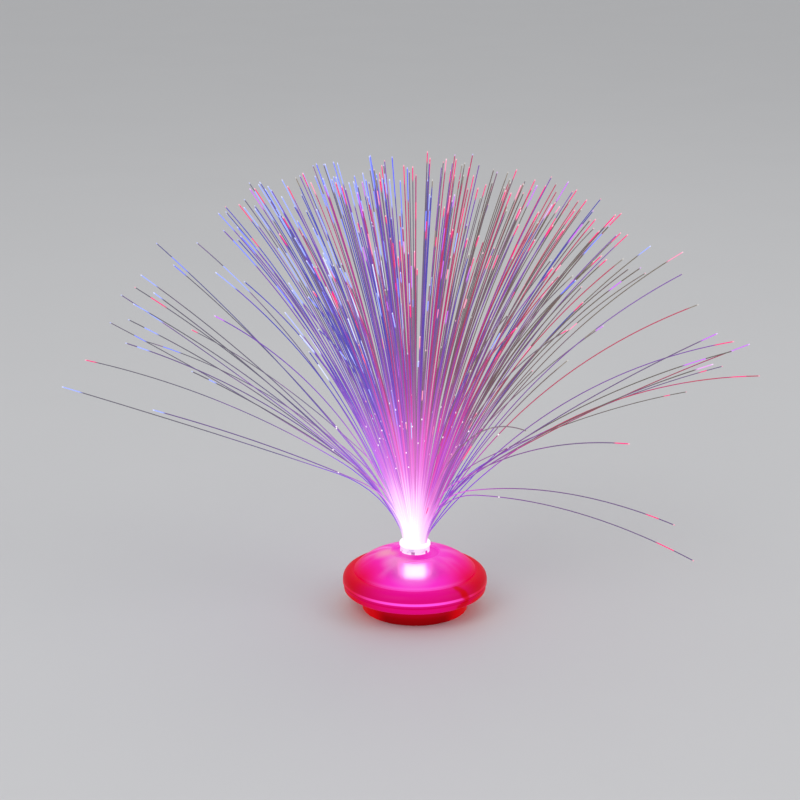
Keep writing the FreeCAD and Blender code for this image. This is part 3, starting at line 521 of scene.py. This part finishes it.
led = {
    "cores": {"ledRed": ("led_red", tone(255, 60, 60)), "ledGreen": ("led_green", tone(90, 255, 120)),
              "ledBlue": ("led_blue", tone(80, 110, 255))},
    # heights where the legs end and the lens begins, and where it whitens
    "lens": (20.15, 20.25), "whiten": (21.5, 27.0), "whiteTint": tone(255, 250, 255), "whiteShare": 0.7,
    "legs": tone(196, 196, 192), "legMetal": 0.9, "swirl": 260.0, "swirlShare": 0.3,
    "rough": 0.12, "roughSwing": 0.12, "strength": 1.6,
}


def ledFinish(name, core):
    sheet = Finish(name)
    spot, z = sheet.axes("Z")
    lens = sheet.smooth(z, *led["lens"])
    swirl = sheet.noise(spot, led["swirl"], 2.0)
    hot = sheet.blend(core, led["whiteTint"], sheet.smooth(z, *led["whiten"]) * led["whiteShare"])
    colour = sheet.blend(led["legs"], sheet.blend(core, white, swirl * led["swirlShare"]), lens)
    return sheet.done(sheet.shine(BaseColor=colour, Metallic=led["legMetal"] - lens * led["legMetal"],
                                  Roughness=led["rough"] + swirl * led["roughSwing"],
                                  EmissionColor=sheet.blend(black, hot, lens),
                                  EmissionStrength=led["strength"]))


cup = {
    "body": (0.9, 0.9, 0.9, 1), "dull": tone(170, 60, 140), "bright": tone(255, 250, 255),
    "warm": tone(255, 225, 250), "warmShare": 0.2, "patches": (-0.9, -0.1),
    "rim": (28.6, 29.6), "rimLoss": 0.9, "axisSoft": 0.01, "clouds": 140.0,
    "rough": 0.4, "roughSwing": 0.15, "strength": 4.2,
}


def cupFinish():
    sheet = Finish("lightCup")
    spot, x, y, z = sheet.axes("XYZ")
    cloud = sheet.noise(spot, cup["clouds"], 2.0)
    # brightest in three patches, between the LEDs: t is the sine of the angle around the axis,
    # and 3t - 4ttt is the sine of three times that angle
    t = y / (fromAxis(x, y) + cup["axisSoft"])
    around = sheet.smooth(t * 3 - t * t * t * 4, *cup["patches"])
    bright = around * (1 - sheet.smooth(z, *cup["rim"]) * cup["rimLoss"])
    light = sheet.blend(cup["dull"], cup["bright"], bright)
    light = sheet.blend(light, cup["warm"], cloud * cup["warmShare"])
    return sheet.done(sheet.shine(BaseColor=cup["body"], Roughness=cup["rough"] + cloud * cup["roughSwing"],
                                  EmissionColor=light, EmissionStrength=cup["strength"]))


chip = {
    "dark": tone(26, 26, 28), "pale": tone(44, 44, 46), "grain": 2400.0,
    "dotPlace": (-15.6, -8.6), "dotEdge": (0.30, 0.36), "dotTint": tone(150, 150, 150),
    "rough": 0.5, "roughSwing": 0.2, "bump": 0.3, "bumpDepth": 0.0001,
}
resistor = {
    "dark": tone(30, 30, 32), "pale": tone(52, 52, 56), "grain": 2600.0, "first": 14.6, "pitch": 1.6,
    "tipEdge": (0.4, 0.46), "tipTint": tone(200, 200, 204), "tipShare": 0.9, "rough": 0.3, "roughSwing": 0.2,
}


def chipFinish():
    sheet = Finish("controlChip")
    spot, x, y = sheet.axes("XY")
    dotX, dotY = chip["dotPlace"]
    dot = 1 - sheet.smooth(fromAxis(x - dotX, y - dotY), *chip["dotEdge"])
    grain = sheet.noise(spot, chip["grain"], 3.0)
    shade = sheet.blend(sheet.blend(chip["dark"], chip["pale"], grain), chip["dotTint"], dot)
    return sheet.done(sheet.shine(BaseColor=shade, Roughness=chip["rough"] + grain * chip["roughSwing"],
                                  Normal=sheet.bump(grain, chip["bump"], chip["bumpDepth"])))


def resistorFinish():
    sheet = Finish("resistorChips")
    spot, x = sheet.axes("X")
    grain = sheet.noise(spot, resistor["grain"], 2.0)
    middle = sheet.maths("PINGPONG", x + resistor["first"], resistor["pitch"])
    tip = 1 - sheet.smooth(middle, *resistor["tipEdge"])
    shade = sheet.blend(resistor["dark"], resistor["pale"], grain)
    shade = sheet.blend(shade, resistor["tipTint"], tip * resistor["tipShare"])
    roughness = resistor["rough"] + grain * resistor["roughSwing"]
    return sheet.done(sheet.shine(BaseColor=shade, Roughness=roughness))


for finish, (nodes, *look) in plastics.items():
    dress(nodes, plasticFinish(finish, *look))
for finish, (nodes, *look) in metals.items():
    dress(nodes, metalFinish(finish, *look))
for finish, (node, core) in led["cores"].items():
    dress([node], ledFinish(finish, core))
dress(["battery_left", "battery_right"], cellFinish("cellRight", 1.0))
dress(["battery_middle"], cellFinish("cellLeft", -1.0))
dress(["circuit_board"], boardFinish())
dress(["light_cup"], cupFinish())
dress(["control_chip"], chipFinish())
dress(["resistors"], resistorFinish())

print("stage: ferrule")
collar = {
    # its painted glow: the skirt in two tints, the whiter glow of the parts below and above it, and painted
    # shade in its notches, by height and radius
    "skirtDull": tone(206, 178, 224), "skirtPale": tone(250, 224, 248), "skirtLevels": (0.3, 0.62),
    "plugGlow": tone(255, 240, 255), "plugTop": (35.2, 36.6), "flangeGlow": tone(255, 252, 255),
    "flangeFrom": (38.2, 39.0), "notchRadius": (7.95, 8.2), "notchHeight": (35.0, 35.2, 36.8, 37.0),
    "notchShade": tone(150, 60, 140), "notchShare": 0.8, "wash": 260.0, "body": 0.5,
    "rough": 0.16, "roughSwing": 0.1, "strength": 0.70, "bump": 0.15, "bumpDepth": 0.0002,
}


def ferruleFinish():
    sheet = Finish("litClearPlastic")
    spot, x, y, z = sheet.axes("XYZ")
    wash = sheet.noise(spot, collar["wash"], 3.0)
    skirt = sheet.blend(collar["skirtDull"], collar["skirtPale"], sheet.smooth(wash, *collar["skirtLevels"]))
    # painted glow, whiter below and above the skirt
    colour = sheet.blend(collar["plugGlow"], skirt, sheet.smooth(z, *collar["plugTop"]))
    colour = sheet.blend(colour, collar["flangeGlow"], sheet.smooth(z, *collar["flangeFrom"]))
    # painted shade in the notches
    notch = (1 - sheet.smooth(fromAxis(x, y), *collar["notchRadius"])) * sheet.band(z, *collar["notchHeight"])
    colour = sheet.blend(colour, collar["notchShade"], notch * collar["notchShare"])
    return sheet.done(sheet.shine(BaseColor=sheet.blend(colour, black, collar["body"]),
                                  Roughness=collar["rough"] + wash * collar["roughSwing"],
                                  EmissionColor=colour, EmissionStrength=collar["strength"],
                                  Normal=sheet.bump(wash, collar["bump"], collar["bumpDepth"])))


dress(["ferrule"], ferruleFinish())

print("stage: fibre spray")
# lengths in millimetres, leans in degrees
spray = {
    "seed": 8, "tintSeed": 12, "pitch": 0.68, "bundle": 6.9, "radius": 0.29, "sides": 8,
    "low": 29.5, "bendFrom": 38.2, "mouth": 41.2, "below": 3.0, "straight": 0.5,
    "length": 229.0, "trim": 15.0, "exit": 12.0, "step": 7, "shortShare": 0.85,
    "lean": 36.5, "skew": 0.09, "edgeLean": 19.0, "edgeFrom": 0.84, "exitShare": 0.58,
    "tuftPitch": 2.35, "tuftMargin": 0.6, "tuftPull": 0.42, "tuftTurn": 17.0, "jitter": 0.12,
    # where a draw ends up below the first number, the strand has the second number's share of its length
    "tiers": [(0.77, 1.0), (0.88, 0.78), (0.95, 0.62), (1.0, 0.40)],
    "strayExit": 24.0, "strayBend": 52.0,
    # the cut end is slightly domed: lengths before the tip, and shares of the radius there
    "endDome": [(1.2, 1.0), (0.14, 1.0), (0.04, 0.86), (0.0, 0.4)],
    # how far out in the bundle each group reaches
    "groups": [("fibres_core", 0.25), ("fibres_inner", 0.5), ("fibres_middle", 0.72), ("fibres_outer", 0.88),
               ("fibres_edge", 1.01)],
    # strands that bend away from the fan: direction, lean after the bend and lean at the tip
    "strays": [
        (0, 58, 68), (16, 64, 80), (36, 78, 92), (54, 66, 80), (70, 60, 74), (92, 64, 80),
        (112, 56, 68), (132, 66, 82), (151, 60, 84), (161, 60, 66), (173, 52, 58), (180, 58, 78),
        (186, 68, 70), (196, 46, 60), (208, 46, 66), (220, 60, 66), (232, 52, 60), (304, 56, 78),
        (311, 70, 92), (319, 78, 100), (327, 52, 66), (334, 50, 60), (338, 50, 70), (165, 42, 54),
        (171, 40, 50), (177, 43, 56), (184, 41, 52), (190, 44, 57), (201, 42, 50),
    ],
}


def gridPoints(pitch, radius):
    rows = int(radius / pitch) + 2
    found = []
    for i in range(-rows, rows + 1):
        for j in range(-rows, rows + 1):
            x, y = pitch * math.sqrt(3) / 2 * i, pitch * (j + i / 2)
            if math.hypot(x, y) <= radius:
                found.append((x, y))
    return found


def nearest(spot, spots):
    return min(spots, key=lambda s: (s[0] - spot[0]) ** 2 + (s[1] - spot[1]) ** 2)


def strandLine(seat, direction, bends):
    # points down the middle of a strand, each with its direction and its way from the mouth
    out, up = Vector((math.cos(direction), math.sin(direction), 0)), Vector((0, 0, 1))
    here = Vector((seat[0], seat[1], spray["bendFrom"]))
    heights = (spray["low"], spray["bendFrom"] - spray["straight"], spray["bendFrom"])
    line = [(Vector((seat[0], seat[1], z)), up, z - spray["mouth"]) for z in heights]
    lean, way = 0.0, -spray["below"]
    for leanEnd, length in bends:
        sweep = math.radians(leanEnd) - lean
        radius = length / sweep
        steps = max(4, round(length / spray["step"]))
        for k in range(1, steps + 1):
            a = lean + sweep * k / steps
            side = radius * (math.cos(lean) - math.cos(a))
            rise = radius * (math.sin(a) - math.sin(lean))
            forward = out * math.sin(a) + up * math.cos(a)
            line.append((here + out * side + up * rise, forward, way + length * k / steps))
        here, lean, way = line[-1][0], lean + sweep, way + length
    return line


def strayLines(seats, rng):
    # takes its seats out of the list
    lines = []
    for angle, bendLean, tipLean in spray["strays"]:
        a = math.radians(angle)
        seat = nearest((spray["bundle"] * math.cos(a), spray["bundle"] * math.sin(a)), seats)
        seats.remove(seat)
        length = spray["length"] - spray["trim"] * rng.random()
        bends = [(spray["strayExit"], spray["exit"]), (bendLean, spray["strayBend"]),
                 (tipLean, length + spray["below"] - spray["exit"] - spray["strayBend"])]
        lines.append((seat, strandLine(seat, math.atan2(seat[1], seat[0]), bends)))
    return lines


def fanLean(share, direction):
    past = max(0.0, (share - spray["edgeFrom"]) / (1 - spray["edgeFrom"]))
    mean = spray["lean"] * share + spray["edgeLean"] * past ** 2
    return mean * (1 + spray["skew"] * math.cos(direction))


def strandPlan():
    rng = random.Random(spray["seed"])
    seats = gridPoints(spray["pitch"], spray["bundle"])
    turn = math.radians(spray["tuftTurn"])
    tufts = [(math.cos(turn) * x - math.sin(turn) * y, math.sin(turn) * x + math.cos(turn) * y)
             for x, y in gridPoints(spray["tuftPitch"], spray["bundle"] + spray["tuftMargin"])]
    plan = {"fibres_stray": strayLines(seats, rng)}
    for x, y in seats:
        tuft = nearest((x, y), tufts)
        # a strand leans from where its tuft pulls it
        wx, wy = (here + spray["tuftPull"] * (there - here) + spray["jitter"] * (2 * rng.random() - 1)
                  for here, there in zip((x, y), tuft))
        direction = math.atan2(wy, wx)
        mean = fanLean(min(math.hypot(wx, wy) / spray["bundle"], 1.0), direction)
        full = spray["length"] - spray["trim"] * rng.random()
        draw = rng.random()
        length = full * next(part for limit, part in spray["tiers"] if draw < limit)
        # a shorter strand bends as the full one would, and ends sooner
        exitLean = spray["exitShare"] * mean
        rest, fullRest = (way + spray["below"] - spray["exit"] for way in (length, full))
        bends = [(exitLean, spray["exit"]), (exitLean + 2 * (mean - exitLean) * rest / fullRest, rest)]
        name = next(n for n, limit in spray["groups"] if math.hypot(x, y) / spray["bundle"] < limit)
        plan.setdefault(name, []).append(((x, y), strandLine((x, y), direction, bends)))
    return plan


# the light low down, in the middle and high up, from the left of the bundle to the right
washes = {
    -1.0: [tone(178, 112, 232), tone(92, 74, 180), tone(64, 62, 150)],
    -0.5: [tone(230, 132, 236), tone(140, 94, 206), tone(82, 72, 162)],
    0.0: [tone(246, 122, 226), tone(166, 82, 176), tone(98, 68, 134)],
    0.4: [tone(216, 88, 206), tone(146, 56, 126), tone(94, 66, 88)],
    0.75: [tone(172, 80, 206), tone(116, 70, 104), tone(92, 78, 76)],
    1.0: [tone(140, 62, 150), tone(92, 66, 74), tone(88, 80, 70)],
}
# what single strands carry along their length, and at their ends, where blue ones have tints of their own
lengthLights = {"red": tone(226, 30, 100), "blue": tone(72, 76, 204), "violet": tone(142, 80, 200),
                "grey": tone(120, 114, 116)}
endLights = {"red": tone(240, 20, 120), "violet": tone(196, 96, 236), "grey": tone(132, 122, 112)}
# how many strands carry each, from the left of the bundle to the right, along their length and at their ends
lengthShares = {-1.0: (0.06, 0.52, 0.20, 0.22), -0.4: (0.12, 0.36, 0.30, 0.22), 0.0: (0.22, 0.16, 0.32, 0.30),
                0.4: (0.25, 0.04, 0.13, 0.58), 1.0: (0.15, 0.02, 0.04, 0.79)}
endShares = {-1.0: (0.06, 0.88, 0.06, 0.00), -0.4: (0.18, 0.72, 0.06, 0.04), 0.0: (0.48, 0.30, 0.10, 0.12),
             0.4: (0.56, 0.04, 0.10, 0.30), 1.0: (0.54, 0.00, 0.08, 0.38)}
carried = {
    "scatter": 0.12, "ownShares": (0.3, 0.5, 0.65), "taupe": tone(122, 108, 86),
    # what strays carry at the left and at the right: along them, at their ends, and how often each end
    "strayLeft": (["blue", "violet", "grey", "grey"], ["blue", "red"], [0.9, 0.1]),
    "strayRight": (["red", "violet", "grey", "grey"], ["red", "violet"], [0.5, 0.5]),
    "strayDull": tone(98, 94, 96), "strayDullRed": tone(128, 44, 66), "strayShares": (0.3, 0.6),
    # blue ends, from deep to pale, in full and in short strands
    "blueEnds": (tone(66, 78, 250), tone(164, 182, 255)),
    "blueShort": (tone(120, 140, 255), tone(226, 232, 255)),
    "paleMost": 0.8, "paleLuck": 0.25, "paleLeftTo": -0.2, "palePowers": (1.0, 1.8),
    "rosy": tone(255, 200, 230), "rosyChance": 0.14, "rosyShare": 0.45,
    # the bright stretch: where it starts before the tip, how often, and how long it is
    "stops": ((6, 20), (20, 70)), "stopChances": [0.62, 0.18, 0.20], "strayStopChances": [0.5, 0.5, 0.0],
    "stretch": (9, 17), "stretchSwing": (0.7, 1.2), "strayBlueStretch": 0.9,
    "stretchOf": {"blue": 1.4, "red": 0.8, "violet": 0.9, "grey": 0.6},
}


def between(marks, side):
    # the marks on both sides of a place across the bundle, and the share of the way
    low = max(m for m in marks if m <= side)
    high = min([m for m in marks if m > side], default=low)
    return low, high, 0 if high == low else (side - low) / (high - low)


def chooseLight(shares, side, chance):
    low, high, t = between(shares, side)
    return chance.choices(list(lengthLights), [a + (b - a) * t for a, b in zip(shares[low], shares[high])])[0]


def lengthTints(side, kind, isStray):
    left, right, t = between(washes, side)
    own = lengthLights[kind]
    if kind == "grey":
        # grey strands turn taupe towards the right of the bundle
        own = mixed(own, carried["taupe"], max(0.0, side))
    low, middle, high = (mixed(mixed(a, b, t), own, share)
                         for a, b, share in zip(washes[left], washes[right], carried["ownShares"]))
    if isStray:
        dull = carried["strayDullRed"] if kind == "red" else carried["strayDull"]
        atMiddle, atHigh = carried["strayShares"]
        middle, high = mixed(middle, dull, atMiddle), mixed(high, dull, atHigh)
    return low, middle, high


def endTint(side, kind, isShort, mood, chance):
    if kind == "blue":
        power = carried["palePowers"][0 if side < carried["paleLeftTo"] else 1]
        pale = min(carried["paleMost"], (mood + carried["paleLuck"] * chance.random()) ** power)
        return mixed(*carried["blueShort" if isShort else "blueEnds"], pale)
    end = endLights[kind]
    isRosy = kind != "grey" and chance.random() < carried["rosyChance"]
    return mixed(end, carried["rosy"], carried["rosyShare"]) if isRosy else end


def strandTints(seat, isStray, isShort, chance, moods):
    side = max(-1.0, min(1.0, seat[0] / spray["bundle"] + chance.gauss(0, carried["scatter"])))
    kind, endKind = chooseLight(lengthShares, side, chance), chooseLight(endShares, side, chance)
    if isStray:
        kinds, endKinds, chances = carried["strayRight" if side > 0 else "strayLeft"]
        kind, endKind = chance.choice(kinds), chance.choices(endKinds, chances)[0]
    # neighbours in a tuft light up together
    tuft = (round(seat[0] / spray["tuftPitch"]), round(seat[1] / spray["tuftPitch"]))
    mood, stretch = moods.setdefault(tuft, (chance.random(), chance.uniform(*carried["stretch"])))
    end = endTint(side, endKind, isShort, mood, chance)
    # the bright stretch mostly reaches the end, and now and then stops short of it
    stops = [0.0, *(chance.uniform(*span) for span in carried["stops"])]
    start = chance.choices(stops, carried["strayStopChances" if isStray else "stopChances"])[0]
    factor = carried["strayBlueStretch"] if isStray and endKind == "blue" else carried["stretchOf"][endKind]
    length = stretch * chance.uniform(*carried["stretchSwing"]) * factor
    return (*lengthTints(side, kind, isStray), end, start, start + length)


def crossways(forward):
    # two directions square to a strand's own and to each other
    level = Vector((-forward.y, forward.x, 0)) if forward.xy.length > 1e-6 else Vector((0, 1, 0))
    across = forward.cross(level).normalized()
    return across, forward.cross(across)


def newPiece(name, points, faces, body, material):
    mesh = bpy.data.meshes.new(name)
    mesh.from_pydata(points, [], faces)
    mesh.polygons.foreach_set("use_smooth", [True] * len(mesh.polygons))
    mesh.materials.append(material)
    piece = newObject(name, mesh)
    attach(piece, body)
    return piece


# the room that the map leaves beside and beyond a strand, and how far below the mouth it begins
mapRoom = {"side": 0.1, "end": 0.01, "root": 12}


def mapStrands(piece, corners, count):
    # each strand has its own upright strip
    strip = 1.0 / count
    wide, tall = 1 - 2 * mapRoom["side"], 1 - 2 * mapRoom["end"]
    flat = []
    for k, j, way, tip in corners:
        flat += [strip * (k + mapRoom["side"] + wide * j / spray["sides"]),
                 mapRoom["end"] + tall * (way + mapRoom["root"]) / (tip + mapRoom["root"])]
    piece.data.uv_layers.new(name="OFBake").data.foreach_set("uv", flat)


def strandMesh(name, strands, material, chance, moods):
    points, faces, corners = [], [], []
    facts = {"way": [], "toTip": [], "seatX": [], "streakTo": [], "streakFrom": [], "luck": []}
    tints = {"lowTint": [], "middleTint": [], "highTint": [], "endTint": []}
    sides = spray["sides"]
    for k, (seat, line) in enumerate(strands):
        end, forward, tip = line[-1]
        isShort = tip < spray["length"] * spray["shortShare"]
        *colours, streakTo, streakFrom = strandTints(seat, "stray" in name, isShort, chance, moods)
        luck = chance.random()
        widths = [1.0] * (len(line) - 1) + [width for drop, width in spray["endDome"]]
        line = line[:-1] + [(end - forward * drop, forward, tip - drop) for drop, width in spray["endDome"]]
        first = len(points)
        for (middle, forward, way), width in zip(line, widths):
            across, third = crossways(forward)
            for j in range(sides):
                a = 2 * math.pi * j / sides
                reach = (across * math.cos(a) + third * math.sin(a)) * spray["radius"] * width
                points.append((middle + reach) * mm)
                for key, value in zip(facts, (way, tip - way, seat[0], streakTo, streakFrom, luck)):
                    facts[key].append(value)
                for key, value in zip(tints, colours):
                    tints[key] += value
        rings = len(line)
        for i in range(rings - 1):
            before, after = line[i][2], line[i + 1][2]
            for j in range(sides):
                n = (j + 1) % sides
                a = first + i * sides
                faces.append((a + j, a + n, a + sides + n, a + sides + j))
                corners += [(k, j, before, tip), (k, j + 1, before, tip),
                            (k, j + 1, after, tip), (k, j, after, tip)]
        faces.append(tuple(first + j for j in reversed(range(sides))))
        corners += [(k, j, line[0][2], tip) for j in reversed(range(sides))]
        faces.append(tuple(first + (rings - 1) * sides + j for j in range(sides)))
        corners += [(k, j, tip, tip) for j in range(sides)]
    piece = newPiece(name, points, faces, "spray", material)
    for key, values in facts.items():
        piece.data.attributes.new(key, "FLOAT", "POINT").data.foreach_set("value", values)
    for key, values in tints.items():
        piece.data.attributes.new(key, "FLOAT_COLOR", "POINT").data.foreach_set("color", values)
    mapStrands(piece, corners, len(strands))
    return piece


# how the light runs along a strand: ways from the mouth and from the tip in millimetres
run = {
    "hot": [(0, tone(255, 250, 255)), (14, tone(254, 230, 252)), (24, tone(248, 208, 244)),
            (36, tone(236, 180, 234)), (50, tone(230, 140, 224)), (70, tone(230, 112, 218))],
    "hotReach": 70, "heat": (34, 74), "heatLuck": 12,
    # the light cools sooner at the right and at the edge of the bundle
    "right": (-0.5, 4.5), "rightLoss": 22, "edge": (4.8, 6.8), "edgeLoss": 20,
    "middle": (66, 124), "middleLuck": 24, "high": (110, 190), "highLuck": 40,
    "fringe": tone(108, 62, 206), "fringeFrom": (5.2, 6.6), "fringeBand": (1, 12, 50, 90), "fringeShare": 0.8,
    # slow changes of strength
    "washAlong": 0.025, "washApart": 60, "washLevels": (0.52, 0.72), "washFrom": (60, 110), "washShare": 0.35,
    # the bright stretch near the end, and its spark
    "streakStart": (-0.6, 0.0), "streakEnd": (-2.5, 0.6), "spark": (0.5, 1.3), "sparkWhite": 0.4,
    # specks in loose rows low in the fan, on a few strands
    "rowFrom": 58, "rowSpread": 10, "rowStep": 14, "rowSplit": 0.6,
    "speckSize": (0.35, 0.7), "speckFrom": 0.78, "speckTint": tone(255, 240, 252),
    # the luck that each strand has, folded into other chances
    "rowFold": 7, "glowFold": 13, "glowFade": (50, 130),
    "dull": 0.5, "dullMore": 0.4, "strength": 1.15, "grain": 1200.0, "rough": 0.16, "roughSwing": 0.14,
    "bump": 0.1, "bumpDepth": 0.00005,
}


def strandFinish():
    sheet = Finish("litStrands")

    def fact(name, out="Fac"):
        return sheet.add("ShaderNodeAttribute", {"attribute_name": name}, out=out)

    way, toTip, seatX, luck = (fact(name) for name in ("way", "toTip", "seatX", "luck"))
    low, middle, high, end = (fact(part + "Tint", "Color") for part in ("low", "middle", "high", "end"))
    outward = sheet.maths("ABSOLUTE", seatX)
    cooling = (way + sheet.smooth(seatX, *run["right"]) * run["rightLoss"]
               + sheet.smooth(outward, *run["edge"]) * run["edgeLoss"])
    hot = sheet.ramp(cooling, 0, run["hotReach"], run["hot"])
    heat = 1 - sheet.smooth(cooling + luck * run["heatLuck"], *run["heat"])
    colour = sheet.blend(low, hot, heat)
    colour = sheet.blend(colour, middle, sheet.smooth(way + luck * run["middleLuck"], *run["middle"]))
    colour = sheet.blend(colour, high, sheet.smooth(way + luck * run["highLuck"], *run["high"]))
    fringe = sheet.smooth(outward, *run["fringeFrom"]) * sheet.band(way, *run["fringeBand"])
    colour = sheet.blend(colour, run["fringe"], fringe * run["fringeShare"])
    along = sheet.add("ShaderNodeCombineXYZ", None, {0: way * run["washAlong"], 1: luck * run["washApart"]})
    wash = sheet.smooth(sheet.noise(along, 1.0, 2.0), *run["washLevels"])
    colour = sheet.blend(colour, low, wash * sheet.smooth(way, *run["washFrom"]) * run["washShare"])
    streak = (sheet.smooth(toTip - fact("streakTo"), *run["streakStart"])
              * (1 - sheet.smooth(toTip - fact("streakFrom"), *run["streakEnd"])))
    spark = 1 - sheet.smooth(toTip, *run["spark"])
    turn = sheet.maths("FRACT", luck * run["rowFold"])
    row = turn * run["rowSpread"] + (turn > run["rowSplit"]) * run["rowStep"] + run["rowFrom"]
    gap = sheet.maths("ABSOLUTE", way - row)
    speck = (1 - sheet.smooth(gap, *run["speckSize"])) * (luck > run["speckFrom"])
    colour = sheet.blend(colour, end, streak)
    colour = sheet.blend(colour, sheet.blend(end, white, run["sparkWhite"]), spark)
    colour = sheet.blend(colour, run["speckTint"], speck)
    # how much of the colour is light of the strand's own
    glow = (1 - sheet.smooth(way, *run["glowFade"])) * sheet.maths("FRACT", luck * run["glowFold"])
    bright = heat
    for other in (streak, speck, glow):
        bright = sheet.maths("MAXIMUM", bright, other)
    fine = sheet.noise(sheet.spot(), run["grain"], 2.0)
    dulled = sheet.blend(colour, black, run["dull"])
    base = sheet.blend(colour, black, run["dull"] + bright * run["dullMore"])
    return sheet.done(sheet.shine(BaseColor=base, Roughness=run["rough"] + fine * run["roughSwing"],
                                  EmissionColor=sheet.blend(dulled, colour, bright),
                                  EmissionStrength=run["strength"],
                                  Normal=sheet.bump(fine, run["bump"], run["bumpDepth"])))


def makeSpray():
    material = strandFinish()
    chance, moods = random.Random(spray["tintSeed"]), {}
    for name, strands in strandPlan().items():
        piece = strandMesh(name.replace("fibres_", "strands_"), strands, material, chance, moods)
        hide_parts(name)
        print(" ", piece.name, len(strands), "strands")


makeSpray()
